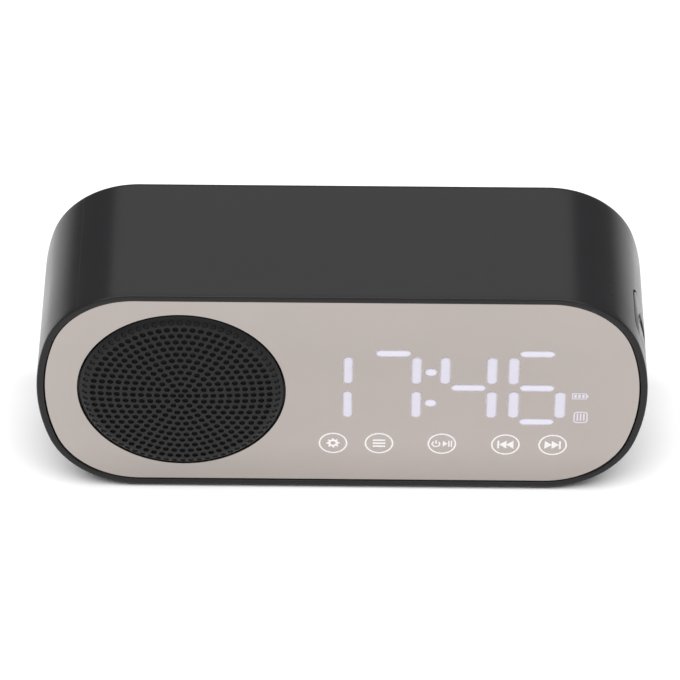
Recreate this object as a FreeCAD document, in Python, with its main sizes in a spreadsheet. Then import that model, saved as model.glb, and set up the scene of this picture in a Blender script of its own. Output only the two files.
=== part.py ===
import FreeCAD, Part
import math
import os
import Sketcher
from FreeCAD import Placement, Rotation, Vector

# Driving dimensions in millimetres, and angles in degrees.
# Depths run back from the plane of the front lip, x runs to the right, and z is
# measured from the middle of the height, as seen from the front.
dimensions = {
    # Housing: a deep moulded cup with a flat oval outline made of three arcs at each end
    "body_width": 150.0,
    "body_height": 65.0,
    "body_depth": 41.5,
    "corner_radius": 23.2,
    "end_radius": 54.3,
    "side_draft": 0.55,
    "wall": 1.7,
    "back_wall": 2.0,
    "front_edge": 0.4,
    "back_edge": 1.2,
    # Mirror, its tape and the frame that carries them
    "mirror_recess": 0.4,
    "mirror_thickness": 1.5,
    "mirror_gap": 0.15,
    "tape_thickness": 0.2,
    "tape_margin": 0.8,
    "frame_gap": 0.2,
    "frame_thickness": 2.0,
    # Screw posts that join the frame to the back of the housing
    "left_post_x": 64.0,
    "left_post_z": 19.0,
    "right_post_x": 58.0,
    "right_post_z": 24.5,
    "post_radius": 4.0,
    "post_split_depth": 22.0,
    "post_pilot_depth": 14.0,
    "post_clearance_radius": 1.5,
    "head_well_radius": 3.1,
    "head_well_depth": 10.0,
    "rear_head_radius": 2.7,
    "rear_head_height": 2.0,
    "rear_shank_radius": 1.25,
    "rear_shank_length": 21.0,
    "thread_fit": 0.05,
    # Speaker position, its opening in the mirror and the perforated grille
    "speaker_x": -39.45,
    "speaker_z": 0.33,
    "mirror_hole_radius": 25.57,
    "grille_radius": 25.1,
    "grille_rise": 1.55,
    "grille_shoulder_radius": 22.8,
    "grille_edge_depth": 0.5,
    "grille_thickness": 1.2,
    "grille_skirt": 1.2,
    "grille_bend": 0.4,
    "grille_hole_side": 1.2,
    "grille_ring_pitch": 1.965,
    "cloth_thickness": 0.2,
    "cloth_margin": 0.1,
    # Speaker driver, front to back
    "frame_opening_radius": 23.3,
    "gasket_thickness": 0.8,
    "gasket_width": 2.0,
    "flange_radius": 25.5,
    "flange_width": 3.4,
    "basket_wall": 0.8,
    "basket_floor_depth": 14.2,
    "basket_waist_radius": 13.2,
    "basket_foot_radius": 10.0,
    "basket_window_width": 16.0,
    "basket_window_margin": 1.6,
    "surround_thickness": 0.4,
    "cone_thickness": 0.4,
    "cone_rim_radius": 19.4,
    "cone_rim_width": 0.8,
    "cone_neck_depth": 12.0,
    "cap_radius": 8.2,
    "cap_thickness": 0.3,
    "former_radius": 6.95,
    "former_thickness": 0.2,
    "coil_thickness": 0.3,
    "coil_length": 5.0,
    "coil_running_gap": 0.35,
    "spider_radius": 14.9,
    "spider_thickness": 0.3,
    "former_gap": 0.05,
    "washer_depth": 18.0,
    "washer_radius": 19.0,
    "washer_thickness": 2.5,
    "magnet_radius": 20.0,
    "magnet_inner_radius": 11.0,
    "magnet_thickness": 8.0,
    "yoke_thickness": 2.5,
    "terminal_place": 17.5,
    "terminal_length": 5.0,
    "terminal_width": 9.0,
    "terminal_thickness": 1.0,
    "tag_length": 6.0,
    "tag_width": 2.0,
    "tag_thickness": 0.4,
    "tag_spacing": 5.0,
    "speaker_screw_x": 13.6,
    "speaker_screw_z": 23.56,
    "speaker_post_radius": 1.6,
    "speaker_head_radius": 2.4,
    "speaker_head_height": 1.2,
    "speaker_shank_radius": 0.9,
    "speaker_shank_length": 3.0,
    # Display: light box, diffuser and the lamps behind each segment
    "display_x": 26.2,
    "display_z": 1.8,
    "light_box_width": 75.6,
    "light_box_height": 29.0,
    "light_box_gap": 0.25,
    "diffuser_thickness": 0.3,
    "digits_x": 21.85,
    "digit_pitch": 16.8,
    "digit_middle_gap": 18.5,
    "digit_width": 11.45,
    "digit_height": 23.2,
    "bar_length": 9.0,
    "bar_width": 2.0,
    "side_segment_length": 8.5,
    "side_segment_width": 2.6,
    "colon_rise": 5.3,
    "colon_width": 2.9,
    "colon_height": 2.3,
    "icon_x": 58.9,
    "icon_upper_z": -0.95,
    "icon_lower_z": -8.2,
    "icon_width": 4.6,
    "icon_upper_height": 2.4,
    "icon_lower_height": 4.0,
    "lamp_length": 1.6,
    "lamp_width": 0.8,
    "lamp_height": 0.7,
    # Touch keys: five printed rings with a sensing pad behind each
    "key_row_z": -17.8,
    "key_one_x": -1.9,
    "key_two_x": 9.3,
    "key_three_x": 24.8,
    "key_four_x": 40.7,
    "key_five_x": 52.4,
    "key_pad_width": 5.4,
    "key_window_gap": 0.6,
    # Main board, its posts and screws
    "board_front": 8.8,
    "board_thickness": 1.6,
    "board_left": 13.0,
    "board_right": 67.6,
    "board_top": 24.5,
    "board_bottom": 27.5,
    "board_step_x": 51.5,
    "board_step_z": 18.9,
    "board_post_radius": 2.5,
    "board_post_left": 8.0,
    "board_post_right": 44.0,
    "board_post_top": 21.0,
    "board_post_bottom": 24.4,
    "board_hole_radius": 1.2,
    "board_pilot_depth": 4.0,
    "board_head_radius": 1.9,
    "board_head_height": 1.3,
    "board_shank_radius": 0.95,
    "board_shank_length": 5.2,
    # Parts on the back of the board
    "chip_x": 14.0,
    "chip_z": 8.0,
    "chip_size": 9.0,
    "chip_height": 1.4,
    "amplifier_x": -4.0,
    "amplifier_z": 4.0,
    "amplifier_length": 5.0,
    "amplifier_width": 4.0,
    "radio_x": 34.0,
    "radio_z": 10.0,
    "radio_length": 17.0,
    "radio_width": 12.0,
    "radio_height": 2.0,
    "plug_length": 7.5,
    "plug_width": 4.5,
    "plug_height": 5.5,
    "speaker_plug_x": -7.5,
    "speaker_plug_z": 14.0,
    "battery_plug_x": 3.0,
    "battery_plug_z": 19.0,
    # Port panel in the right end and the three sockets behind it
    "panel_depth": 12.0,
    "panel_width": 13.8,
    "panel_height": 37.7,
    "panel_corner": 2.6,
    "panel_gap": 0.2,
    "panel_sink": 0.12,
    "panel_flange": 0.8,
    "panel_flange_gap": 0.25,
    "panel_flange_thickness": 1.0,
    "charge_z": 11.1,
    "charge_sink": 1.0,
    "charge_width": 8.9,
    "charge_height": 3.2,
    "charge_corner": 1.5,
    "charge_length": 9.0,
    "charge_metal": 0.3,
    "charge_back": 1.0,
    "slot_gap": 0.2,
    "tongue_width": 6.7,
    "tongue_thickness": 0.7,
    "tongue_length": 6.0,
    "card_z": -1.2,
    "card_width": 14.2,
    "card_height": 1.9,
    "card_length": 15.0,
    "card_metal": 0.3,
    "card_back": 1.0,
    "card_setback": 0.2,
    "card_slot_width": 12.0,
    "card_slot_height": 1.5,
    "jack_z": -13.2,
    "jack_width": 6.4,
    "jack_height": 5.0,
    "jack_length": 12.0,
    "jack_nose_radius": 2.9,
    "jack_setback": 0.4,
    "jack_bore_radius": 1.8,
    "jack_bore_length": 13.0,
    # Battery cell in its cradle
    "battery_x": 19.5,
    "battery_z": -18.0,
    "battery_depth": 26.6,
    "battery_radius": 9.15,
    "battery_length": 65.0,
    "cradle_fit": 0.1,
    "cradle_spacing": 42.0,
    "cradle_rib": 2.0,
    "cushion_width": 8.0,
    # Rubber feet
    "foot_length": 18.0,
    "foot_width": 5.0,
    "foot_proud": 0.8,
    "foot_sink": 0.7,
    "foot_gap": 0.15,
    "foot_x": 42.0,
    "foot_front_depth": 8.0,
    "foot_back_depth": 33.0,
    # Extra length of every tool that cuts right through
    "overrun": 2.0,
}

# Counts that follow from the way the grille is laid out
GRILLE_RINGS = 11
HOLES_PER_RING_STEP = 6

# Flat sides that stand for the round of a screw's head, and of small shanks, posts and holes
SCREW_HEAD_SIDES = 6
SMALL_ROUND_SIDES = 8

document = FreeCAD.newDocument("TableClock")
sheet = document.addObject("Spreadsheet::Sheet", "Sizes")
for row, (alias, amount) in enumerate(dimensions.items(), start=1):
    sheet.set("A%d" % row, alias)
    sheet.set("B%d" % row, str(amount))
    sheet.setAlias("B%d" % row, alias)
document.recompute()


class Size:
    """A length known as a number and as the expression that gives it from the sheet."""

    def __init__(self, number, text):
        self.number = number
        self.text = text

    def __add__(self, other):
        other = as_size(other)
        return Size(self.number + other.number, "(%s + %s)" % (self.text, other.text))

    def __sub__(self, other):
        other = as_size(other)
        return Size(self.number - other.number, "(%s - %s)" % (self.text, other.text))

    def __mul__(self, other):
        other = as_size(other)
        return Size(self.number * other.number, "%s * %s" % (self.text, other.text))

    def __truediv__(self, other):
        other = as_size(other)
        return Size(self.number / other.number, "%s / %s" % (self.text, other.text))

    def __neg__(self):
        return Size(-self.number, "(0 - %s)" % self.text)


def as_size(value):
    """Wraps a plain factor so that it can take part in a sum of sizes."""
    if isinstance(value, Size):
        return value
    return Size(float(value), repr(value))


def root(value):
    """The square root of a size."""
    return Size(math.sqrt(value.number), "sqrt(%s)" % value.text)


def leg(longest, other):
    """The third side of a right triangle, from its longest side and another."""
    return root(longest * longest - other * other)


class Dimensions:
    """Each driving dimension as a Size, under its own name."""

    def __init__(self, table):
        for name, amount in table.items():
            setattr(self, name, Size(amount, "Sizes." + name))


s = Dimensions(dimensions)
ZERO = Size(0.0, "0")

# The part stands on its feet with the middle of its whole depth at the origin
front = s.grille_rise - (s.body_depth + s.grille_rise) / 2
middle = s.foot_proud + s.body_height / 2

# Centres and joints of the outline's arcs
end_centre = s.body_width / 2 - s.end_radius
corner_rise = s.body_height / 2 - s.corner_radius
arc_span = s.end_radius - s.corner_radius
corner_reach = leg(arc_span, corner_rise)
corner_centre = end_centre + corner_reach

# Depths that follow from the stack of pieces behind the lip
mirror_back = s.mirror_recess + s.mirror_thickness
frame_front = mirror_back + s.tape_thickness
frame_back = frame_front + s.frame_thickness
light_box_front = mirror_back + s.diffuser_thickness
board_back = s.board_front + s.board_thickness
housing_floor = s.body_depth - s.back_wall
well_floor = s.body_depth - s.head_well_depth
mirror_inset = s.wall + s.mirror_gap
frame_inset = s.wall + s.frame_gap

# Depths and radii of the speaker driver
cloth_front = s.grille_thickness - s.grille_rise
surround_front = frame_back + s.gasket_thickness
flange_front = surround_front + s.surround_thickness
flange_back = flange_front + s.basket_wall
basket_inner = s.flange_radius - s.flange_width
cone_rim_inner = s.cone_rim_radius - s.cone_rim_width
washer_inner = s.former_radius + s.coil_thickness + s.coil_running_gap
pole_radius = s.former_radius - s.former_thickness - s.coil_running_gap
washer_back = s.washer_depth + s.washer_thickness
magnet_back = washer_back + s.magnet_thickness
coil_front = s.washer_depth + s.washer_thickness / 2 - s.coil_length / 2

# The paper cone falls evenly from its rim to its neck, and the cap lies on it
cone_fall = (s.cone_neck_depth - flange_front) / (cone_rim_inner - s.former_radius)
cap_back = flange_front + (cone_rim_inner - s.cap_radius) * cone_fall

# Insets of the port panel behind the outline of the housing
panel_step = s.wall + s.panel_flange_gap
panel_inner = panel_step + s.panel_flange_thickness
charge_depth = board_back + s.charge_height / 2
card_depth = board_back + s.card_height / 2
jack_depth = board_back + s.jack_height / 2

PLANE_ROLES = {"front": "XZ_Plane", "top": "XY_Plane", "side": "YZ_Plane"}


def bind(item, path, size):
    """Ties one property of an object to the sheet."""
    item.setExpression(path, size.text)


def plane_of(body, role):
    """The origin plane of a body that has the given role."""
    for feature in body.Origin.OriginFeatures:
        if feature.Role == role:
            return feature
    raise ValueError(role)


def new_body(label, x=ZERO, z=ZERO):
    """A body whose own origin lies on the lip plane at the given place on the face."""
    body = document.addObject("PartDesign::Body", label)
    body.Label = label
    body.Placement = Placement(Vector(x.number, front.number, (middle + z).number), Rotation())
    bind(body, "Placement.Base.x", x)
    bind(body, "Placement.Base.y", front)
    bind(body, "Placement.Base.z", middle + z)
    return body


def new_sketch(body, view, name, offset=ZERO):
    """A sketch seen from the front, top or side, set back by an offset along its axis."""
    sketch = body.newObject("Sketcher::SketchObject", name)
    sketch.AttachmentSupport = [(plane_of(body, PLANE_ROLES[view]), "")]
    sketch.MapMode = "FlatFace"
    along = -offset if view == "front" else offset
    sketch.AttachmentOffset = Placement(Vector(0, 0, along.number), Rotation())
    bind(sketch, "AttachmentOffset.Base.z", along)
    return sketch


def fix_coordinate(sketch, geometry, point, kind, size):
    """Holds one coordinate of a sketch point."""
    if size.number == 0:
        axis = -2 if kind == "DistanceX" else -1
        sketch.addConstraint(Sketcher.Constraint("PointOnObject", geometry, point, axis))
        return
    number = sketch.addConstraint(Sketcher.Constraint(kind, geometry, point, size.number))
    sketch.setExpression("Constraints[%d]" % number, size.text)


def fix_point(sketch, geometry, point, x, y):
    """Holds a sketch point at a place given in sizes."""
    fix_coordinate(sketch, geometry, point, "DistanceX", x)
    fix_coordinate(sketch, geometry, point, "DistanceY", y)


def fix_radius(sketch, geometry, size):
    """Holds the radius of a circle or an arc."""
    number = sketch.addConstraint(Sketcher.Constraint("Radius", geometry, size.number))
    sketch.setExpression("Constraints[%d]" % number, size.text)


def draw_circle(sketch, x, y, radius):
    """Draws one circle."""
    circle = Part.Circle(Vector(x.number, y.number, 0), Vector(0, 0, 1), radius.number)
    geometry = sketch.addGeometry(circle, False)
    fix_point(sketch, geometry, 3, x, y)
    fix_radius(sketch, geometry, radius)


def draw_polygon(sketch, x, y, radius, sides=SMALL_ROUND_SIDES):
    """Draws an even polygon, given by the radius of its corners, for small round shapes."""
    corners = []
    for number in range(sides):
        angle = 2 * math.pi * number / sides
        corners.append((x + radius * math.cos(angle), y + radius * math.sin(angle)))
    draw_loop(sketch, corners)


def arc_between(start, end, radius, left):
    """The arc of a given radius between two points, turning left or right on its way."""
    chord = end - start
    half = chord.Length / 2
    rise = math.sqrt(max(radius * radius - half * half, 0.0))
    side = Vector(-chord.y, chord.x, 0).normalize()
    centre = start + chord * 0.5 + side * (rise if left else -rise)
    first, last = (start, end) if left else (end, start)
    first_angle = math.atan2(first.y - centre.y, first.x - centre.x)
    last_angle = math.atan2(last.y - centre.y, last.x - centre.x)
    if last_angle < first_angle:
        last_angle += 2 * math.pi
    circle = Part.Circle(centre, Vector(0, 0, 1), radius)
    return Part.ArcOfCircle(circle, first_angle, last_angle)


def draw_loop(sketch, corners, arcs=None):
    """Draws a closed loop. arcs gives (radius, turns left) for the sides that are round."""
    arcs = arcs or {}
    sides = []
    for index, (x, y) in enumerate(corners):
        next_x, next_y = corners[(index + 1) % len(corners)]
        start = Vector(x.number, y.number, 0)
        end = Vector(next_x.number, next_y.number, 0)
        if index in arcs:
            radius, left = arcs[index]
            arc = arc_between(start, end, radius.number, left)
            geometry = sketch.addGeometry(arc, False)
            sides.append((geometry, 1, 2) if left else (geometry, 2, 1))
        else:
            sides.append((sketch.addGeometry(Part.LineSegment(start, end), False), 1, 2))
    for index, (geometry, first, last) in enumerate(sides):
        following, follow_first, _ = sides[(index + 1) % len(sides)]
        sketch.addConstraint(
            Sketcher.Constraint("Coincident", geometry, last, following, follow_first)
        )
        fix_point(sketch, geometry, first, *corners[index])
        if index in arcs:
            fix_radius(sketch, geometry, arcs[index][0])


def draw_rectangle(sketch, centre_x, centre_y, width, height):
    """Draws an upright rectangle about its centre."""
    left, right = centre_x - width / 2, centre_x + width / 2
    low, high = centre_y - height / 2, centre_y + height / 2
    draw_loop(sketch, [(left, low), (right, low), (right, high), (left, high)])


def draw_round_rectangle(sketch, centre_x, centre_y, width, height, corner):
    """Draws an upright rectangle with round corners."""
    left, right = centre_x - width / 2, centre_x + width / 2
    low, high = centre_y - height / 2, centre_y + height / 2
    corners = [
        (left + corner, low),
        (right - corner, low),
        (right, low + corner),
        (right, high - corner),
        (right - corner, high),
        (left + corner, high),
        (left, high - corner),
        (left, low + corner),
    ]
    draw_loop(sketch, corners, {side: (corner, True) for side in (1, 3, 5, 7)})


def arc_joint(inset):
    """Where the end arc of the inset outline meets its corner arc, in x and z."""
    end = s.end_radius - inset
    return end_centre + end * corner_reach / arc_span, end * corner_rise / arc_span


def draw_outline(sketch, inset):
    """Draws the flat oval outline of the front, moved inwards by an inset."""
    corner, end = s.corner_radius - inset, s.end_radius - inset
    top = s.body_height / 2 - inset
    join_x, join_z = arc_joint(inset)
    corners = [
        (corner_centre, -top),
        (join_x, -join_z),
        (join_x, join_z),
        (corner_centre, top),
        (-corner_centre, top),
        (-join_x, join_z),
        (-join_x, -join_z),
        (-corner_centre, -top),
    ]
    radii = {0: corner, 1: end, 2: corner, 4: corner, 5: end, 6: corner}
    draw_loop(sketch, corners, {side: (radius, True) for side, radius in radii.items()})


def corner_x(height, inset):
    """How far right the inset outline reaches at a height within its corner arc."""
    return corner_centre + leg(s.corner_radius - inset, height - corner_rise)


def draw_end_band(sketch, outer, inner, height):
    """Draws the strip between two insets of the right end, up and down to a height."""
    corners = []
    radii = []
    for inset in (outer, inner):
        join_x, join_z = arc_joint(inset)
        reach = corner_x(height, inset)
        corners.append([(reach, -height), (join_x, -join_z), (join_x, join_z), (reach, height)])
        radii.append([s.corner_radius - inset, s.end_radius - inset, s.corner_radius - inset])
    arcs = {side: (radii[0][side], True) for side in range(3)}
    arcs.update({side + 4: (radii[1][side], False) for side in range(3)})
    draw_loop(sketch, corners[0] + corners[1][::-1], arcs)


def seen_from_front(sketch):
    """Whether a sketch lies on the front plane, whose normal points at the viewer."""
    return sketch.AttachmentSupport[0][0].Role == PLANE_ROLES["front"]


def extrude(body, kind, sketch, name, length, reverse, taper=None):
    """A pad or a pocket of a sketch."""
    feature = body.newObject("PartDesign::" + kind, name)
    feature.Profile = sketch
    feature.Length = length.number
    bind(feature, "Length", length)
    feature.Reversed = reverse
    if taper:
        feature.TaperAngle = taper.number
        bind(feature, "TaperAngle", taper)
    sketch.Visibility = False
    return feature


def pad(body, sketch, name, length, forth=True, taper=None):
    """Pads a sketch back, up or to the right; without forth, the other way."""
    return extrude(body, "Pad", sketch, name, length, seen_from_front(sketch) == forth, taper)


def pocket(body, sketch, name, length, forth=True):
    """Cuts a sketch back, up or to the right; without forth, the other way."""
    return extrude(body, "Pocket", sketch, name, length, seen_from_front(sketch) != forth)


def turned(label, corners):
    """A round piece of the speaker, turned from a profile of radius and depth."""
    body = new_body(label, s.speaker_x, s.speaker_z)
    profile = new_sketch(body, "top", label + "_profile")
    draw_loop(profile, corners)
    feature = body.newObject("PartDesign::Revolution", label + "_turn")
    feature.Profile = profile
    feature.ReferenceAxis = (profile, ["V_Axis"])
    feature.Angle = 360.0
    return body


def ring(label, inner, outer, near, far):
    """A flat ring of the speaker between two radii and two depths."""
    return turned(label, [(inner, near), (outer, near), (outer, far), (inner, far)])


def place(item, x, y, z, rotation=None):
    """Puts a primitive at a place on the face and a depth behind the lip."""
    at_y, at_z = front + y, middle + z
    base = Vector(x.number, at_y.number, at_z.number)
    item.Placement = Placement(base, rotation or Rotation())
    bind(item, "Placement.Base.x", x)
    bind(item, "Placement.Base.y", at_y)
    bind(item, "Placement.Base.z", at_z)


def block(label, x, z, size_x, size_z, near, thickness):
    """A block centred at x, z whose front lies at the depth near."""
    item = document.addObject("Part::Box", label)
    item.Label = label
    for axis, size in (("Length", size_x), ("Width", thickness), ("Height", size_z)):
        setattr(item, axis, size.number)
        bind(item, axis, size)
    place(item, x - size_x / 2, near, z - size_z / 2)
    return item


def rod(label, x, z, radius, near, length, turn=None):
    """A cylinder that runs back from a depth, or as turned from upright."""
    item = document.addObject("Part::Cylinder", label)
    item.Label = label
    item.Radius = radius.number
    item.Height = length.number
    bind(item, "Radius", radius)
    bind(item, "Height", length)
    place(item, x, near, z, turn or Rotation(Vector(1, 0, 0), -90))
    return item


def fused(label, items):
    """Several solids as one object; those that don't touch stay separate solids."""
    item = document.addObject("Part::MultiFuse", label)
    item.Label = label
    item.Shapes = items
    return item


def chamfer_depth(body, base, name, depth, size):
    """Chamfers every edge of the last feature that lies at one depth."""
    document.recompute()
    names = []
    for number, edge in enumerate(base.Shape.Edges, start=1):
        box = edge.BoundBox
        if max(abs(box.YMin - depth.number), abs(box.YMax - depth.number)) < size.number / 4:
            names.append("Edge%d" % number)
    feature = body.newObject("PartDesign::Chamfer", name)
    feature.Base = (base, names)
    feature.Size = size.number
    bind(feature, "Size", size)
    document.recompute()
    return feature


post_places = [
    (-s.left_post_x, s.left_post_z),
    (-s.left_post_x, -s.left_post_z),
    (s.right_post_x, s.right_post_z),
    (s.right_post_x, -s.right_post_z),
]
board_post_places = [
    (-s.board_post_left, s.board_post_top),
    (s.board_post_right, s.board_post_top),
    (-s.board_post_left, -s.board_post_bottom),
    (s.board_post_right, -s.board_post_bottom),
]
speaker_post_places = [
    (s.speaker_x + s.speaker_screw_x * side, s.speaker_z + s.speaker_screw_z * level)
    for side in (-1, 1)
    for level in (-1, 1)
]
key_places = [s.key_one_x, s.key_two_x, s.key_three_x, s.key_four_x, s.key_five_x]
foot_places = [
    (s.foot_x * side, depth) for side in (-1, 1) for depth in (s.foot_front_depth, s.foot_back_depth)
]


def lit_places():
    """Centre and size of every segment, dot and icon of the display, on the face."""
    places = []
    near, far = s.digit_middle_gap / 2, s.digit_middle_gap / 2 + s.digit_pitch
    half_width, half_height = s.digit_width / 2, s.digit_height / 2
    for centre in (s.digits_x - far, s.digits_x - near, s.digits_x + near, s.digits_x + far):
        for level in (-1, 0, 1):
            places.append((centre, s.display_z + half_height * level, s.bar_length, s.bar_width))
        for side in (-1, 1):
            for level in (-1, 1):
                x = centre + half_width * side
                z = s.display_z + half_height / 2 * level
                places.append((x, z, s.side_segment_width, s.side_segment_length))
    for level in (-1, 1):
        z = s.display_z + s.colon_rise * level
        places.append((s.digits_x, z, s.colon_width, s.colon_height))
    places.append((s.icon_x, s.icon_upper_z, s.icon_width, s.icon_upper_height))
    places.append((s.icon_x, s.icon_lower_z, s.icon_width, s.icon_lower_height))
    return places


# Housing: the drafted cup with its screw posts, battery cradle, foot wells and port opening
def build_housing():
    body = new_body("housing")
    outline = new_sketch(body, "front", "housing_outline")
    draw_outline(outline, ZERO)
    mass = pad(body, outline, "housing_block", s.body_depth, taper=-s.side_draft)
    back = chamfer_depth(body, mass, "housing_back_edge", s.body_depth, s.back_edge)
    chamfer_depth(body, back, "housing_front_edge", ZERO, s.front_edge)

    mouth = new_sketch(body, "front", "housing_mouth")
    draw_outline(mouth, s.wall)
    pocket(body, mouth, "housing_cavity", housing_floor)

    posts = new_sketch(body, "front", "housing_post_places", s.post_split_depth)
    for x, z in post_places:
        draw_circle(posts, x, z, s.post_radius)
    pad(body, posts, "housing_posts", housing_floor - s.post_split_depth + s.back_wall / 2)

    ribs = new_sketch(body, "front", "housing_cradle_places", s.battery_depth)
    reach = s.battery_radius + s.cradle_fit + s.cradle_rib
    for side in (-1, 1):
        centre = s.battery_x + s.cradle_spacing / 2 * side
        draw_rectangle(ribs, centre, s.battery_z, s.cradle_rib, reach * 2)
    pad(body, ribs, "housing_cradle", housing_floor - s.battery_depth + s.back_wall / 2)
    seat = new_sketch(body, "side", "housing_cradle_seat", s.battery_x - s.battery_length / 2)
    draw_circle(seat, s.battery_depth, s.battery_z, s.battery_radius + s.cradle_fit)
    pocket(body, seat, "housing_cradle_hollow", s.battery_length)

    wells = new_sketch(body, "front", "housing_head_wells", s.body_depth + s.overrun)
    for x, z in post_places:
        draw_circle(wells, x, z, s.head_well_radius)
    pocket(body, wells, "housing_wells", s.head_well_depth + s.overrun, forth=False)
    holes = new_sketch(body, "front", "housing_screw_holes", s.post_split_depth - s.overrun)
    for x, z in post_places:
        draw_polygon(holes, x, z, s.post_clearance_radius)
    pocket(body, holes, "housing_screw_bores", s.body_depth - s.post_split_depth)

    feet = new_sketch(body, "top", "housing_foot_places", -s.body_height / 2 - s.overrun)
    gap = s.foot_gap * 2
    for x, depth in foot_places:
        draw_rectangle(feet, x, depth, s.foot_length + gap, s.foot_width + gap)
    pocket(body, feet, "housing_foot_wells", s.foot_sink + s.overrun)

    ports = new_sketch(body, "side", "housing_port_place", corner_centre)
    gap = s.panel_gap
    width, height = s.panel_width + gap * 2, s.panel_height + gap * 2
    draw_round_rectangle(ports, s.panel_depth, ZERO, width, height, s.panel_corner + gap)
    pocket(body, ports, "housing_port_opening", s.body_width / 2)
    return body


# Front frame: the plate that carries mirror, speaker, display and board, with its posts
def build_front_frame():
    body = new_body("front_frame")
    plate = new_sketch(body, "front", "frame_outline", frame_front)
    draw_outline(plate, frame_inset)
    pad(body, plate, "frame_plate", s.frame_thickness)

    root_depth = frame_back - s.frame_thickness / 2
    for name, places, radius, end, draw in (
        ("housing", post_places, s.post_radius, s.post_split_depth, draw_circle),
        ("board", board_post_places, s.board_post_radius, s.board_front, draw_polygon),
        ("speaker", speaker_post_places, s.speaker_post_radius, flange_back, draw_polygon),
    ):
        posts = new_sketch(body, "front", "frame_%s_post_places" % name, root_depth)
        for x, z in places:
            draw(posts, x, z, radius)
        pad(body, posts, "frame_%s_posts" % name, end - root_depth)
    for name, places, radius, end, length in (
        ("housing", post_places, s.rear_shank_radius, s.post_split_depth, s.post_pilot_depth),
        ("board", board_post_places, s.board_shank_radius, s.board_front, s.board_pilot_depth),
        ("speaker", speaker_post_places, s.speaker_shank_radius, flange_back, s.speaker_shank_length),
    ):
        pilots = new_sketch(body, "front", "frame_%s_pilot_places" % name, end + s.overrun)
        for x, z in places:
            draw_polygon(pilots, x, z, radius + s.thread_fit)
        pocket(body, pilots, "frame_%s_pilots" % name, length + s.overrun, forth=False)

    windows = new_sketch(body, "front", "frame_window_places", frame_front - s.overrun)
    draw_circle(windows, s.speaker_x, s.speaker_z, s.frame_opening_radius)
    gap = s.light_box_gap * 2
    draw_rectangle(
        windows, s.display_x, s.display_z, s.light_box_width + gap, s.light_box_height + gap
    )
    side = s.key_pad_width + s.key_window_gap * 2
    for x in key_places:
        draw_rectangle(windows, x, s.key_row_z, side, side)
    pocket(body, windows, "frame_windows", s.frame_thickness + s.overrun * 2)
    return body


# Mirror: the half-silvered front panel with the round speaker opening
def build_mirror_panel():
    body = new_body("mirror_panel")
    sheet_outline = new_sketch(body, "front", "mirror_outline", s.mirror_recess)
    draw_outline(sheet_outline, mirror_inset)
    draw_circle(sheet_outline, s.speaker_x, s.speaker_z, s.mirror_hole_radius)
    pad(body, sheet_outline, "mirror_plate", s.mirror_thickness)
    return body


# Mirror tape: the adhesive sheet between mirror and frame, cut out where light and touch pass
def build_mirror_tape():
    body = new_body("mirror_tape")
    tape = new_sketch(body, "front", "tape_outline", mirror_back)
    draw_outline(tape, frame_inset + s.tape_margin)
    draw_circle(tape, s.speaker_x, s.speaker_z, s.mirror_hole_radius + s.tape_margin)
    gap = s.light_box_gap * 2
    draw_rectangle(
        tape, s.display_x, s.display_z, s.light_box_width + gap, s.light_box_height + gap
    )
    side = s.key_pad_width + s.key_window_gap * 2
    for x in key_places:
        draw_rectangle(tape, x, s.key_row_z, side, side)
    pad(body, tape, "tape_layer", s.tape_thickness)
    return body


def grille_holes():
    """Square wires of the grille's holes: one at the axis, then ring after ring."""
    half = s.grille_hole_side.number / 2
    corners = [(-half, -half), (half, -half), (half, half), (-half, half), (-half, -half)]
    holes = []
    for step in range(GRILLE_RINGS + 1):
        count = max(HOLES_PER_RING_STEP * step, 1)
        radius = s.grille_ring_pitch.number * step
        for number in range(count):
            hole = Part.makePolygon([Vector(radius + x, 0, z) for x, z in corners])
            hole.rotate(Vector(), Vector(0, 1, 0), math.degrees(2 * math.pi * number / count))
            holes.append(hole)
    return holes


# Speaker grille: a pressed cap with a perforated field, bevelled shoulder and skirt
def build_speaker_grille():
    skirt_inner = s.grille_radius - s.grille_skirt
    bend = s.grille_shoulder_radius - s.grille_bend
    rim = turned(
        "grille_rim",
        [
            (bend, -s.grille_rise),
            (s.grille_shoulder_radius, -s.grille_rise),
            (s.grille_radius, s.grille_edge_depth),
            (s.grille_radius, frame_front),
            (skirt_inner, frame_front),
            (skirt_inner, s.grille_edge_depth + s.grille_skirt / 2),
            (bend, cloth_front),
        ],
    )
    edge = Part.Wire(Part.Circle(Vector(), Vector(0, 1, 0), bend.number).toShape())
    sheet_metal = Part.Face([edge] + grille_holes(), "Part::FaceMakerBullseye")
    field = document.addObject("Part::Feature", "grille_field")
    field.Shape = sheet_metal.extrude(Vector(0, s.grille_thickness.number, 0))
    place(field, s.speaker_x, -s.grille_rise, s.speaker_z)
    return fused("speaker_grille", [rim, field])


def build_grille_cloth():
    radius = s.grille_shoulder_radius - s.grille_bend - s.cloth_margin
    return rod("grille_cloth", s.speaker_x, s.speaker_z, radius, cloth_front, s.cloth_thickness)


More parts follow.
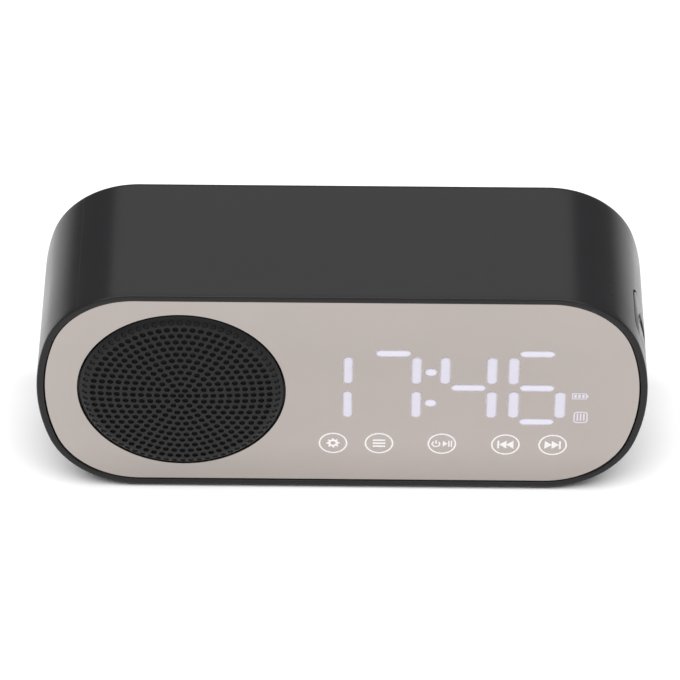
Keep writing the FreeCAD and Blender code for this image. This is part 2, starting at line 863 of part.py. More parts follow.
# Speaker driver: pressed basket with windows, seated on the top plate of its magnet
def build_speaker_basket():
    wall = s.basket_wall
    waist = s.basket_waist_radius
    floor = s.basket_floor_depth
    body = turned(
        "speaker_basket",
        [
            (basket_inner, flange_front),
            (s.flange_radius, flange_front),
            (s.flange_radius, flange_back),
            (basket_inner + wall, flange_back),
            (basket_inner + wall, floor + wall),
            (waist + wall, floor + wall),
            (waist + wall, s.washer_depth),
            (s.basket_foot_radius, s.washer_depth),
            (s.basket_foot_radius, s.washer_depth - wall),
            (waist, s.washer_depth - wall),
            (waist, floor),
            (basket_inner, floor),
        ],
    )
    near = flange_back + s.basket_window_margin
    far = floor - s.basket_window_margin
    reach = s.flange_radius + s.overrun
    side = new_sketch(body, "side", "basket_side_window", -reach)
    draw_rectangle(side, (near + far) / 2, ZERO, far - near, s.basket_window_width)
    pocket(body, side, "basket_side_windows", reach * 2)
    top = new_sketch(body, "top", "basket_top_window", -reach)
    draw_rectangle(top, ZERO, (near + far) / 2, s.basket_window_width, far - near)
    pocket(body, top, "basket_top_windows", reach * 2)
    return body


def build_speaker_yoke():
    return turned(
        "magnet_yoke",
        [
            (ZERO, s.washer_depth),
            (pole_radius, s.washer_depth),
            (pole_radius, magnet_back),
            (s.washer_radius, magnet_back),
            (s.washer_radius, magnet_back + s.yoke_thickness),
            (ZERO, magnet_back + s.yoke_thickness),
        ],
    )


def build_speaker_cone():
    neck = s.former_radius + s.former_gap
    return turned(
        "speaker_cone",
        [
            (cone_rim_inner, flange_front),
            (s.cone_rim_radius, flange_front),
            (s.cone_rim_radius, flange_front + s.cone_thickness),
            (neck, s.cone_neck_depth + s.cone_thickness),
            (neck, s.cone_neck_depth),
        ],
    )


def build_voice_coil():
    inner = s.former_radius - s.former_thickness
    outer = s.former_radius + s.coil_thickness
    coil_back = coil_front + s.coil_length
    return turned(
        "voice_coil",
        [
            (inner, cap_back),
            (s.former_radius, cap_back),
            (s.former_radius, coil_front),
            (outer, coil_front),
            (outer, coil_back),
            (inner, coil_back),
        ],
    )


def build_terminals():
    strip_x = s.speaker_x + s.terminal_place
    near = s.washer_depth - s.terminal_thickness
    strip = block(
        "terminal_strip",
        strip_x,
        s.speaker_z,
        s.terminal_length,
        s.terminal_width,
        near,
        s.terminal_thickness,
    )
    tags = [
        block(
            "terminal_tag_%d" % number,
            strip_x,
            s.speaker_z + s.tag_spacing / 2 * side,
            s.tag_length,
            s.tag_width,
            near - s.tag_thickness,
            s.tag_thickness,
        )
        for number, side in enumerate((-1, 1), start=1)
    ]
    return fused("speaker_terminals", [strip] + tags)


def prism(label, x, z, sides, radius, near, length):
    """A many-sided rod that runs back from a depth, given by the radius of its corners."""
    item = document.addObject("Part::Prism", label)
    item.Label = label
    item.Polygon = sides
    item.Circumradius = radius.number
    item.Height = length.number
    bind(item, "Circumradius", radius)
    bind(item, "Height", length)
    place(item, x, near, z, Rotation(Vector(1, 0, 0), -90))
    return item


def screws(label, places, head_radius, head_height, shank_radius, shank_length, seat):
    """Screws whose heads sit behind one depth, with their shanks running forwards."""
    near = seat - shank_length
    pieces = []
    for number, (x, z) in enumerate(places, start=1):
        head_label = "%s_head_%d" % (label, number)
        shank_label = "%s_shank_%d" % (label, number)
        pieces += [
            prism(head_label, x, z, SCREW_HEAD_SIDES, head_radius, seat, head_height),
            prism(shank_label, x, z, SMALL_ROUND_SIDES, shank_radius, near, shank_length),
        ]
    return fused(label, pieces)


# Display: an opaque box with a light well behind every segment, and a lamp in each well
def build_light_box():
    body = new_body("light_box")
    outline = new_sketch(body, "front", "light_box_outline", light_box_front)
    draw_rectangle(outline, s.display_x, s.display_z, s.light_box_width, s.light_box_height)
    for x, z, width, height in lit_places():
        draw_rectangle(outline, x, z, width, height)
    pad(body, outline, "light_box_block", s.board_front - light_box_front)
    return body


def build_diffuser():
    return block(
        "diffuser_film",
        s.display_x,
        s.display_z,
        s.light_box_width,
        s.light_box_height,
        mirror_back,
        s.diffuser_thickness,
    )


def build_lamps():
    near = s.board_front - s.lamp_height
    lamps = [
        block("display_lamp_%d" % number, x, z, s.lamp_length, s.lamp_width, near, s.lamp_height)
        for number, (x, z, width, height) in enumerate(lit_places(), start=1)
    ]
    return fused("display_lamps", lamps)


def build_touch_pads():
    side = s.key_pad_width
    thickness = s.board_front - mirror_back
    pads = [
        block("touch_pad_%d" % number, x, s.key_row_z, side, side, mirror_back, thickness)
        for number, x in enumerate(key_places, start=1)
    ]
    return fused("touch_pads", pads)


def build_main_board():
    body = new_body("main_board")
    outline = new_sketch(body, "front", "board_outline", s.board_front)
    corners = [
        (-s.board_left, -s.board_bottom),
        (s.board_step_x, -s.board_bottom),
        (s.board_step_x, -s.board_step_z),
        (s.board_right, -s.board_step_z),
        (s.board_right, s.board_step_z),
        (s.board_step_x, s.board_step_z),
        (s.board_step_x, s.board_top),
        (-s.board_left, s.board_top),
    ]
    draw_loop(outline, corners)
    for x, z in board_post_places:
        draw_polygon(outline, x, z, s.board_hole_radius)
    pad(body, outline, "board_plate", s.board_thickness)
    return body


def on_board(label, x, z, size_x, size_z, height):
    """A part soldered to the back of the board."""
    return block(label, x, z, size_x, size_z, board_back, height)


# Port panel: a flush strip in the right end with a flange behind and three openings
def build_port_panel():
    body = new_body("port_panel")
    near = s.panel_depth - s.panel_width / 2
    strip = new_sketch(body, "front", "panel_strip", near)
    draw_end_band(strip, s.panel_sink, panel_step, s.panel_height / 2)
    face = pad(body, strip, "panel_face", s.panel_width)
    document.recompute()
    corners = []
    for number, edge in enumerate(face.Shape.Edges, start=1):
        box = edge.BoundBox
        if max(box.YLength, box.ZLength) < s.panel_gap.number:
            corners.append("Edge%d" % number)
    rounded = body.newObject("PartDesign::Fillet", "panel_corners")
    rounded.Base = (face, corners)
    rounded.Radius = s.panel_corner.number
    bind(rounded, "Radius", s.panel_corner)
    document.recompute()

    flange = new_sketch(body, "front", "panel_flange_strip", near - s.panel_flange)
    draw_end_band(flange, panel_step, panel_inner, s.panel_height / 2 + s.panel_flange)
    pad(body, flange, "panel_flange", s.panel_width + s.panel_flange * 2)

    gap = s.slot_gap * 2
    slots = new_sketch(body, "side", "panel_slot_places", corner_centre)
    width, height = s.charge_height + gap, s.charge_width + gap
    draw_round_rectangle(
        slots, charge_depth, s.charge_z, width, height, s.charge_corner + s.slot_gap
    )
    draw_rectangle(slots, card_depth, s.card_z, s.card_slot_height, s.card_slot_width)
    draw_circle(slots, jack_depth, s.jack_z, s.jack_nose_radius + s.slot_gap)
    pocket(body, slots, "panel_slots", s.body_width / 2)
    return body


def build_charging_socket():
    mouth = end_centre + leg(s.end_radius, s.charge_z) - s.charge_sink
    body = new_body("charging_socket")
    shell = new_sketch(body, "side", "charge_shell", mouth - s.charge_length)
    draw_round_rectangle(
        shell, charge_depth, s.charge_z, s.charge_height, s.charge_width, s.charge_corner
    )
    pad(body, shell, "charge_body", s.charge_length)
    metal = s.charge_metal
    inside = new_sketch(body, "side", "charge_mouth", mouth - s.charge_length + s.charge_back)
    draw_round_rectangle(
        inside,
        charge_depth,
        s.charge_z,
        s.charge_height - metal * 2,
        s.charge_width - metal * 2,
        s.charge_corner - metal,
    )
    pocket(body, inside, "charge_hollow", s.charge_length)
    return body


def build_socket_tongue():
    mouth = end_centre + leg(s.end_radius, s.charge_z) - s.charge_sink
    near = charge_depth - s.tongue_thickness / 2
    left = mouth - s.charge_length + s.charge_back
    return block(
        "socket_tongue",
        left + s.tongue_length / 2,
        s.charge_z,
        s.tongue_length,
        s.tongue_width,
        near,
        s.tongue_thickness,
    )


def build_card_socket():
    reach = s.card_width / 2 - s.card_z
    mouth = end_centre + leg(s.end_radius - panel_inner, reach) - s.card_setback
    body = new_body("card_socket")
    shell = new_sketch(body, "side", "card_shell", mouth - s.card_length)
    draw_rectangle(shell, card_depth, s.card_z, s.card_height, s.card_width)
    pad(body, shell, "card_body", s.card_length)
    metal = s.card_metal
    inside = new_sketch(body, "side", "card_mouth", mouth - s.card_length + s.card_back)
    draw_rectangle(
        inside, card_depth, s.card_z, s.card_height - metal * 2, s.card_width - metal * 2
    )
    pocket(body, inside, "card_hollow", s.card_length)
    return body


def build_audio_jack():
    low = s.jack_width / 2 - s.jack_z
    shoulder = corner_x(low, panel_inner) - s.card_setback
    mouth = end_centre + leg(s.end_radius, s.jack_z) - s.jack_setback
    body = new_body("audio_jack")
    case = new_sketch(body, "side", "jack_case", shoulder - s.jack_length)
    draw_rectangle(case, jack_depth, s.jack_z, s.jack_height, s.jack_width)
    pad(body, case, "jack_body", s.jack_length)
    nose = new_sketch(body, "side", "jack_nose_place", shoulder)
    draw_circle(nose, jack_depth, s.jack_z, s.jack_nose_radius)
    pad(body, nose, "jack_nose", mouth - shoulder)
    bore = new_sketch(body, "side", "jack_bore_place", mouth - s.jack_bore_length)
    draw_circle(bore, jack_depth, s.jack_z, s.jack_bore_radius)
    pocket(body, bore, "jack_bore", s.jack_bore_length + s.overrun)
    return body


def build_battery():
    left = s.battery_x - s.battery_length / 2
    along_x = Rotation(Vector(0, 1, 0), 90)
    return rod(
        "battery_cell",
        left,
        s.battery_z,
        s.battery_radius,
        s.battery_depth,
        s.battery_length,
        turn=along_x,
    )


def build_battery_cushion():
    near = s.battery_depth + s.battery_radius
    return block(
        "battery_cushion",
        s.battery_x,
        s.battery_z,
        s.cradle_spacing - s.cradle_rib * 2,
        s.cushion_width,
        near,
        housing_floor - near,
    )


# Rubber feet: four strips sunk into the underside
def build_feet():
    height = s.foot_proud + s.foot_sink
    level = (s.foot_sink - s.foot_proud) / 2 - s.body_height / 2
    feet = []
    for number, (x, depth) in enumerate(foot_places, start=1):
        near = depth - s.foot_width / 2
        label = "rubber_foot_%d" % number
        feet.append(block(label, x, level, s.foot_length, height, near, s.foot_width))
    return fused("rubber_feet", feet)


gasket_inner = s.flange_radius - s.gasket_width
nodes = [
    build_housing(),
    build_front_frame(),
    build_mirror_panel(),
    build_mirror_tape(),
    build_speaker_grille(),
    build_grille_cloth(),
    ring("speaker_gasket", gasket_inner, s.flange_radius, frame_back, surround_front),
    ring("speaker_surround", cone_rim_inner, s.flange_radius, surround_front, flange_front),
    build_speaker_basket(),
    ring(
        "speaker_spider",
        s.former_radius + s.former_gap,
        s.spider_radius,
        s.basket_floor_depth - s.spider_thickness,
        s.basket_floor_depth,
    ),
    ring("magnet_top_plate", washer_inner, s.washer_radius, s.washer_depth, washer_back),
    ring("magnet_ring", s.magnet_inner_radius, s.magnet_radius, washer_back, magnet_back),
    build_speaker_yoke(),
    build_terminals(),
    screws(
        "speaker_screws",
        speaker_post_places,
        s.speaker_head_radius,
        s.speaker_head_height,
        s.speaker_shank_radius,
        s.speaker_shank_length,
        flange_back,
    ),
    build_speaker_cone(),
    ring("dust_cap", ZERO, s.cap_radius, cap_back - s.cap_thickness, cap_back),
    build_voice_coil(),
    build_light_box(),
    build_diffuser(),
    build_lamps(),
    build_touch_pads(),
    build_main_board(),
    screws(
        "board_screws",
        board_post_places,
        s.board_head_radius,
        s.board_head_height,
        s.board_shank_radius,
        s.board_shank_length,
        board_back,
    ),
    on_board("controller_chip", s.chip_x, s.chip_z, s.chip_size, s.chip_size, s.chip_height),
    on_board(
        "amplifier_chip",
        s.amplifier_x,
        s.amplifier_z,
        s.amplifier_length,
        s.amplifier_width,
        s.chip_height,
    ),
    on_board("radio_module", s.radio_x, s.radio_z, s.radio_length, s.radio_width, s.radio_height),
    on_board(
        "speaker_plug",
        s.speaker_plug_x,
        s.speaker_plug_z,
        s.plug_length,
        s.plug_width,
        s.plug_height,
    ),
    on_board(
        "battery_plug",
        s.battery_plug_x,
        s.battery_plug_z,
        s.plug_length,
        s.plug_width,
        s.plug_height,
    ),
    build_port_panel(),
    build_charging_socket(),
    build_socket_tongue(),
    build_card_socket(),
    build_audio_jack(),
    build_battery(),
    build_battery_cushion(),
    screws(
        "rear_screws",
        post_places,
        s.rear_head_radius,
        s.rear_head_height,
        s.rear_shank_radius,
        s.rear_shank_length,
        well_floor,
    ),
    build_feet(),
]

document.recompute()
failures = [
    "%s: %s" % (item.Label, item.getStatusString())
    for item in document.Objects
    if "Invalid" in item.State or "Error" in item.State
]
for node in nodes:
    shape = node.Shape
    if shape.isNull() or not shape.isValid() or not shape.Solids:
        failures.append("%s: no valid solid" % node.Label)
if failures:
    raise RuntimeError("the model did not build: " + "; ".join(failures))

os.makedirs("parts", exist_ok=True)
for node in nodes:
    node.Shape.exportStep("parts/%s.step" % node.Label)
    print("%s: %d solids, %.1f mm3" % (node.Label, len(node.Shape.Solids), node.Shape.Volume))
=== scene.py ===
import math
import bmesh
import bpy
from mathutils import Matrix, Vector


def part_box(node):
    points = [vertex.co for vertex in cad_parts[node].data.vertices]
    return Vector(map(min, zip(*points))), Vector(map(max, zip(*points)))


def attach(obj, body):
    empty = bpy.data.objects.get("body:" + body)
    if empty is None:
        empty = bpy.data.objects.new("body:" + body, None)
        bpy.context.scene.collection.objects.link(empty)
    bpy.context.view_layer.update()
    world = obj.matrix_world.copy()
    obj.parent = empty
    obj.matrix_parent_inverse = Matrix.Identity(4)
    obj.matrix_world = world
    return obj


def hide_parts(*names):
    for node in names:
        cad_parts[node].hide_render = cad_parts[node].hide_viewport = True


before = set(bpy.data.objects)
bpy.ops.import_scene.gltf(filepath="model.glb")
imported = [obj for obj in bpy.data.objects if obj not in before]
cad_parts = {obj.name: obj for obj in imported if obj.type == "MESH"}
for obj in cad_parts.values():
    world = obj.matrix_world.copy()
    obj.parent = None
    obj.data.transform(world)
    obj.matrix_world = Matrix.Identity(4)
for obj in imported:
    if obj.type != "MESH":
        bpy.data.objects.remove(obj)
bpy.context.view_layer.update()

# Lengths are in millimetres and are turned into metres where points are made, but the
# studio's are in metres. Depths run back from the plane of the front lip. Angles are in degrees,
# but for the camera's, the side draft's and the screws' turn, which are in radians.
MM = 0.001

# Nearer vertices are merged, cutters reach this far past a surface, folds below the flat angle
# are dissolved, and edges over the sharp angle aren't smoothed
MERGE_GAP = 0.001
OVERLAP = 1.0
FLAT_ANGLE = 0.3
SHARP_ANGLE = 30.0

# Camera, found by fitting the outline, the grille's rings and the digits of the photograph
PHOTO_PIXELS = 680
FOCAL_PIXELS = 5015.9
SENSOR_WIDTH = 36.0
CAMERA_PITCH = 0.7717
CAMERA_YAW = -0.0014
CAMERA_ROLL = 0.0074
CAMERA_DISTANCE = 1230.99
FACE_MIDDLE_RIGHT = 2.067
FACE_MIDDLE_DOWN = 53.683

# Housing: the flat oval outline of three arcs at each end, the moulding's edges, and the depths
# of the points along its cavity and its side
BODY_WIDTH = 150.0
BODY_HEIGHT = 65.0
BODY_DEPTH = 41.5
CORNER_RADIUS = 23.2
END_RADIUS = 54.3
SIDE_DRAFT = math.radians(0.55)
WALL = 1.7
BACK_WALL = 2.0
LIP_EDGE = 0.25
FRONT_EDGE = 0.45
BACK_EDGE = 1.6
CAVITY_DEPTHS = (BODY_DEPTH - BACK_WALL, 20.0, 6.0, 2.2)
SIDE_DEPTHS = (2.0, 4.0, 8.0, 12.0, 16.0, 20.0, 25.0, 30.0, 35.0, 38.0)

# Screw posts and wells in the back, the battery's cradle, and the wells of the feet
POST_PLACES = ((-64.0, 19.0), (-64.0, -19.0), (58.0, 24.5), (58.0, -24.5))
POST_RADIUS = 4.0
POST_FRONT = 22.0
POST_SIDES = 48
WELL_RADIUS = 3.1
WELL_DEPTH = 10.0
BORE_RADIUS = 1.5
BORE_DEPTHS = (20.0, 33.0)
BORE_SIDES = 24
BATTERY_X = 19.5
BATTERY_Z = -18.0
BATTERY_DEPTH = 26.6
CRADLE_RADIUS = 9.25
CRADLE_SPACING = 42.0
CRADLE_REACH = 30.0
CRADLE_SIDES = 64
RIB = 2.0
FOOT_X = 42.0
FOOT_DEPTHS = (8.0, 33.0)
FOOT_LENGTH = 18.3
FOOT_WIDTH = 5.3
FOOT_SINK = 0.7

# Port panel's opening in the right end, cut between two places in x
PORT_CUT = (60.0, 78.0)
PORT_DEPTH = 12.0
PORT_WIDTH = 14.7
PORT_HEIGHT = 38.6
PORT_CORNER = 2.8
PORT_CORNER_STEPS = 8

# Rear screws; the recess has these shares of its size at its floor and just over its mouth, and
# each screw is turned by this from the one before
HEAD_RADIUS = 2.7
HEAD_HEIGHT = 2.0
HEAD_ROUND = 1.1
HEAD_STEPS = 6
SCREW_SIDES = 24
SCREW_TURN = 0.7
SHANK_RADIUS = 1.22
SHANK_ROOT = 0.95
SHANK_LENGTH = 21.0
THREAD_PITCH = 0.9
RECESS_WIDTH = 0.75
RECESS_LENGTH = 2.9
RECESS_DEPTH = 1.2
RECESS_FLOOR = 0.55
RECESS_MOUTH = 1.12

# Mirror; a face is silvered where its normal points along Y by more than this share
MIRROR_INSET = 2.0
MIRROR_HOLE = 25.57
MIRROR_HOLE_SIDES = 192
SILVERED_SHARE = 0.9
MIRROR_BEVEL = 0.08

# Speaker grille: a shallow dome of perforated metal with a rolled shoulder and a skirt
GRILLE_RINGS = 11
RING_PITCH = 1.975
HOLE_RADIUS = 0.76
HOLE_SIDES = 14
FIELD_SIDES = 216
DOME_RISE = 1.55
DOME_RADIUS = 292.0
SHOULDER_START = 22.6
SHOULDER_ROUND = 4.0
GRILLE_RADIUS = 25.1
GRILLE_SHEET = 0.5
SHOULDER_SHEET = 0.9
SHOULDER_ROWS = 37
INNER_ROWS = 6
SKIRT_DROP = 1.5
SKIRT_INNER_FRONT = 1.6
SKIRT_BACK = 2.1
GRILLE_SHARP_ANGLE = 40.0
DIMPLES = 72
DIMPLE_RING = 23.74
DIMPLE_RADIUS = 0.74
DIMPLE_WALL = 0.14
DIMPLE_DEPTH = 0.35
DIMPLE_STEPS = 16
CLOTH_THICKNESS = 0.2
CLOTH_GAP = 0.03
CLOTH_RADII = (0.0, 6.0, 12.0, 18.0, 22.3)
CLOTH_SIDES = 96

# Digits that shine through the mirror, made of level bars and side bars. Their row rises a
# little to the right, their tops lean a little towards the middle, and the side bars get wider
# to the right. An end is the length that is rounded off at each end of a bar. A round is the
# share that is rounded off: of half a size for level bars and the colon, and of the whole width
# for side bars. Lights are shares of full light.
DIGITS_X = 21.75
DIGITS_Z = 1.91
DIGIT_PITCH = 16.8
MIDDLE_GAP = 18.5
DIGIT_HALF_WIDTH = 5.72
DIGIT_HALF_HEIGHT = 11.66
DIGIT_LEAN = 0.0045
DIGIT_SLANT = -0.004
SLANT_GROWTH = -0.0005
BAR_LENGTH = 8.38
BAR_WIDTH = 1.92
BAR_END = 1.4
BAR_ROUND = 0.98
SIDE_LENGTH = 8.75
SIDE_WIDTH = 2.08
SIDE_GROWTH = 0.009
SIDE_END = 1.0
SIDE_ROUND = 0.46
COLON_RISE = 5.27
COLON_WIDTH = 2.75
COLON_HEIGHT = 2.25
COLON_ROUND = (0.85, 0.95)
LIT_FEATHER = 0.3
SIDE_LIGHT = 0.88
BATTERY_SIGN = (58.3, -0.62)
CARD_SIGN = (58.85, -7.93)
SIGN_LIGHT = 0.72

# Touch keys printed on the mirror, as plates of ink a hair off its face, with a faint painted glow
# in the ink
KEY_PLACES = ((-2.15, -17.6), (9.25, -17.56), (24.83, -17.56), (40.6, -17.67), (52.3, -17.68))
KEY_RADIUS = 3.56
KEY_STROKE = 0.4
KEY_SIDES = 72
INK = 0.03
INK_GAP = 0.002

# Surfaces: noise in cycles per metre, the part of it that tones and roughness run over, how far
# roughness goes to each side of a finish's own, and the share of light left where noise is low
FINE_GRAIN = 2500.0
PATCHES = 60.0
LIGHT_PATCHES = 500.0
NOISE_RANGE = (0.2, 0.8)
ROUGHNESS_SPREAD = 0.03
LIGHT_LOW = 0.9

# Studio, in metres and watts: the floor's tones and the distances between which painted shade
# darkens it, a painted falloff of light away from the clock, where the lights point, each light's
# name, place, size and power, and how far the camera sees
FLOOR_REACH = 4.0
FLOOR_PAINTED_FALLOFF = (0.1, 0.6)
FLOOR_FAR_PAINTED_SHADE = (0.6, 0.6, 0.6)
FLOOR_NEAR_PAINTED_LIGHT = (0.935, 0.935, 0.935)
ROOM_LIGHT = 0.2
AIM = (0.0, 0.0, 0.03)
SOFTBOXES = (
    ("overhead_softbox", (0.0, -0.35, 1.4), (2.4, 1.4), 40.0),
    ("back_softbox", (0.0, 1.15, 1.15), (1.4, 0.7), 4.9),
)
CAMERA_SIGHT = 20.0

# Frame places that the CAD gives: the lip plane, the mirror's two faces behind it, the middle of
# the face's height, and the speaker's axis
LIP_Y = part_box("housing")[0][1] / MM
MIRROR_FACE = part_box("mirror_panel")[0][1] / MM - LIP_Y
MIRROR_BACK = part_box("mirror_panel")[1][1] / MM - LIP_Y
FACE_Z = (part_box("mirror_panel")[0][2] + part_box("mirror_panel")[1][2]) / 2 / MM
INK_FRONT = MIRROR_FACE - INK
INK_BACK = MIRROR_FACE - INK_GAP
grille_low, grille_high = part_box("speaker_grille")
SPEAKER_X = (grille_low[0] + grille_high[0]) / 2 / MM
SPEAKER_Z = (grille_low[2] + grille_high[2]) / 2 / MM - FACE_Z


def at(x, depth, z):
    """A place on the face, behind the lip, as a point of the frame."""
    return Vector((x, LIP_Y + depth, FACE_Z + z)) * MM


# Materials


def add_node(tree, kind, links=(), **settings):
    """Adds a node, sets its properties, and feeds its sockets with values or other sockets."""
    node = tree.nodes.new(kind)
    for name, value in settings.items():
        setattr(node, name, value)
    for socket, value in dict(links).items():
        if isinstance(value, bpy.types.NodeSocket):
            tree.links.new(value, node.inputs[socket])
        else:
            node.inputs[socket].default_value = value
    return node


def add_math(tree, operation, first, second=0.0):
    """Adds one step of arithmetic, and returns its result."""
    links = {0: first, 1: second}
    return add_node(tree, "ShaderNodeMath", links, operation=operation).outputs[0]


def add_range(tree, value, given, result, interpolation="SMOOTHSTEP"):
    """Maps a value from one range to another."""
    links = {"Value": value, "From Min": given[0], "From Max": given[1]}
    links.update({"To Min": result[0], "To Max": result[1]})
    node = add_node(tree, "ShaderNodeMapRange", links, interpolation_type=interpolation)
    return node.outputs["Result"]


def new_material(name, values=()):
    """A material with a Principled shader that has the given values."""
    material = bpy.data.materials.new(name)
    material.use_nodes = True
    tree = material.node_tree
    tree.nodes.clear()
    shader = add_node(tree, "ShaderNodeBsdfPrincipled", values)
    add_node(tree, "ShaderNodeOutputMaterial", {"Surface": shader.outputs["BSDF"]})
    return material, tree, shader


def make_grain_group():
    """Fine moulding grain: a height, and a mask that varies slowly over the surface."""
    group = bpy.data.node_groups.new("moulding_grain", "ShaderNodeTree")
    face = group.interface
    for name, value in (("Grain Size", FINE_GRAIN), ("Patch Size", PATCHES)):
        socket = face.new_socket(name=name, in_out="INPUT", socket_type="NodeSocketFloat")
        socket.default_value = value
    for name in ("Height", "Patches"):
        face.new_socket(name=name, in_out="OUTPUT", socket_type="NodeSocketFloat")
    start = add_node(group, "NodeGroupInput").outputs
    end = add_node(group, "NodeGroupOutput").inputs
    place = add_node(group, "ShaderNodeTexCoord").outputs["Object"]
    for size, output, detail in (("Grain Size", "Height", 3.0), ("Patch Size", "Patches", 4.0)):
        links = {"Vector": place, "Scale": start[size], "Detail": detail, "Roughness": 0.6}
        noise = add_node(group, "ShaderNodeTexNoise", links)
        group.links.new(noise.outputs["Fac"], end[output])
    return group


grain_group = make_grain_group()


def add_grain(tree, shader, grain_size, patch_size, depth, smooth, rough):
    """Grain in the bump, and roughness that varies slowly. Returns the mask of the patches."""
    links = {"Grain Size": grain_size, "Patch Size": patch_size}
    grain = add_node(tree, "ShaderNodeGroup", links, node_tree=grain_group).outputs
    links = {"Strength": 1.0, "Distance": depth * MM, "Height": grain["Height"]}
    bump = add_node(tree, "ShaderNodeBump", links)
    tree.links.new(bump.outputs["Normal"], shader.inputs["Normal"])
    spread = add_range(tree, grain["Patches"], NOISE_RANGE, (smooth, rough))
    tree.links.new(spread, shader.inputs["Roughness"])
    return grain["Patches"]


def add_tones(tree, mask, dark, light, target):
    """Feeds a socket with a colour between two tones, by a mask."""
    ramp = add_node(tree, "ShaderNodeValToRGB", {"Fac": mask})
    ramp.color_ramp.interpolation = "EASE"
    for element, place, colour in zip(ramp.color_ramp.elements, NOISE_RANGE, (dark, light)):
        element.position = place
        element.color = (*colour, 1.0)
    tree.links.new(ramp.outputs["Color"], target)


def moulded(
    name, dark, light, roughness, grain=0.012, grain_size=FINE_GRAIN, metallic=0.0, shine=0.5
):
    """A moulded, cast, woven or coated surface with fine grain and slight patches of tone."""
    values = {"Metallic": metallic, "Specular IOR Level": shine}
    material, tree, shader = new_material(name, values)
    smooth, rough = roughness - ROUGHNESS_SPREAD, roughness + ROUGHNESS_SPREAD
    patches = add_grain(tree, shader, grain_size, PATCHES, grain, smooth, rough)
    add_tones(tree, patches, dark, light, shader.inputs["Base Color"])
    return material


def add_parting_line(material, across, above, half_width, height):
    """A fine ridge along the depth, where two halves of the mould met near the upper left.

    Its height is counted in heights of the grain.
    """
    tree = material.node_tree
    bump = next(node for node in tree.nodes if node.bl_idname == "ShaderNodeBump")
    grain = bump.inputs["Height"].links[0].from_socket
    place = add_node(tree, "ShaderNodeTexCoord").outputs["Object"]
    parts = add_node(tree, "ShaderNodeSeparateXYZ", {"Vector": place}).outputs
    away = add_math(tree, "SUBTRACT", parts["X"], across * MM)
    away = add_math(tree, "MULTIPLY", add_math(tree, "SIGN", away), away)
    ridge = add_range(tree, away, (half_width * MM, 0.0), (0.0, height))
    upper = add_math(tree, "GREATER_THAN", parts["Z"], above * MM)
    line = add_math(tree, "MULTIPLY", ridge, upper)
    tree.links.new(add_math(tree, "ADD", grain, line), bump.inputs["Height"])


def light_material(name, colour, strength, base):
    """Light that fades towards a shape's edge by its glow attribute."""
    values = {"Roughness": 0.4, "Emission Strength": strength, "Base Color": (*base, 1.0)}
    material, tree, shader = new_material(name, values)
    glow = add_node(tree, "ShaderNodeAttribute", attribute_name="glow").outputs["Fac"]
    tree.links.new(glow, shader.inputs["Alpha"])
    links = {"Grain Size": FINE_GRAIN, "Patch Size": LIGHT_PATCHES}
    grain = add_node(tree, "ShaderNodeGroup", links, node_tree=grain_group)
    ramp = add_node(tree, "ShaderNodeValToRGB", {"Fac": grain.outputs["Patches"]})
    for element, share in zip(ramp.color_ramp.elements, (LIGHT_LOW, 1.0)):
        element.color = (*(c * share for c in colour), 1.0)
    tree.links.new(ramp.outputs["Color"], shader.inputs["Emission Color"])
    return material


def silvered_material(name, dark, light, edge):
    """A half-silvered sheet: a mirror on its faces, and bare tinted plastic at its cut edges."""
    material, tree, shader = new_material(name)
    patches = add_grain(
        tree, shader, grain_size=300.0, patch_size=PATCHES, depth=0.0, smooth=0.02, rough=0.11
    )
    silvered = add_node(tree, "ShaderNodeAttribute", attribute_name="silvered").outputs["Fac"]
    links = {"Factor": silvered, "A": (*edge, 1.0)}
    blend = add_node(tree, "ShaderNodeMix", links, data_type="RGBA")
    add_tones(tree, patches, dark, light, blend.inputs["B"])
    tree.links.new(blend.outputs["Result"], shader.inputs["Base Color"])
    tree.links.new(silvered, shader.inputs["Metallic"])
    return material


def grey(level):
    """A colour without a hue."""
    return level, level, level


housing_plastic = moulded(
    "housing_plastic", (0.0163, 0.0155, 0.0166), (0.0178, 0.0169, 0.0181), 0.25, 0.005, shine=0.16
)
add_parting_line(housing_plastic, across=-64.0, above=50.0, half_width=0.3, height=5.0)
grille_coat = moulded(
    "grille_coat", (0.011, 0.011, 0.012), (0.0135, 0.0135, 0.0145), 0.4, 0.008, 3500.0, shine=0.16
)
inner_plastic = moulded("inner_plastic", grey(0.02), grey(0.03), 0.5)
black_plastic = moulded("black_plastic", grey(0.015), grey(0.02), 0.35)
white_plastic = moulded("white_plastic", (0.78, 0.78, 0.77), (0.85, 0.85, 0.84), 0.45)
rubber = moulded("rubber", grey(0.02), grey(0.03), 0.7)
coated_steel = moulded("coated_steel", grey(0.03), grey(0.05), 0.4)
ferrite = moulded("ferrite", (0.06, 0.06, 0.065), (0.09, 0.09, 0.095), 0.6)
board_mask = moulded("board_mask", (0.015, 0.07, 0.03), (0.02, 0.1, 0.045), 0.35, grain=0.004)
cell_sleeve = moulded("cell_sleeve", (0.02, 0.09, 0.25), (0.03, 0.12, 0.32), 0.25, grain=0.002)
metal = {"grain": 0.004, "grain_size": 900.0, "metallic": 1.0}
plated_steel = moulded("plated_steel", (0.5, 0.5, 0.49), (0.62, 0.62, 0.6), 0.28, **metal)
dark_steel = moulded("dark_steel", grey(0.1), grey(0.14), 0.4, **metal)
wire = {"grain": 0.01, "grain_size": 1500.0, "metallic": 1.0}
copper = moulded("copper", (0.5, 0.22, 0.08), (0.6, 0.28, 0.1), 0.3, **wire)
paper = moulded("paper", grey(0.03), grey(0.05), 0.85, grain=0.05, grain_size=900.0)
cloth = moulded("cloth", grey(0.002), grey(0.005), 0.95, grain=0.05, grain_size=1500.0)
foam = moulded("foam", grey(0.03), grey(0.045), 0.95, grain=0.05, grain_size=1200.0)
mirror_silver = silvered_material(
    "mirror_silver", (0.378, 0.341, 0.322), (0.388, 0.349, 0.329), edge=(0.03, 0.027, 0.025)
)
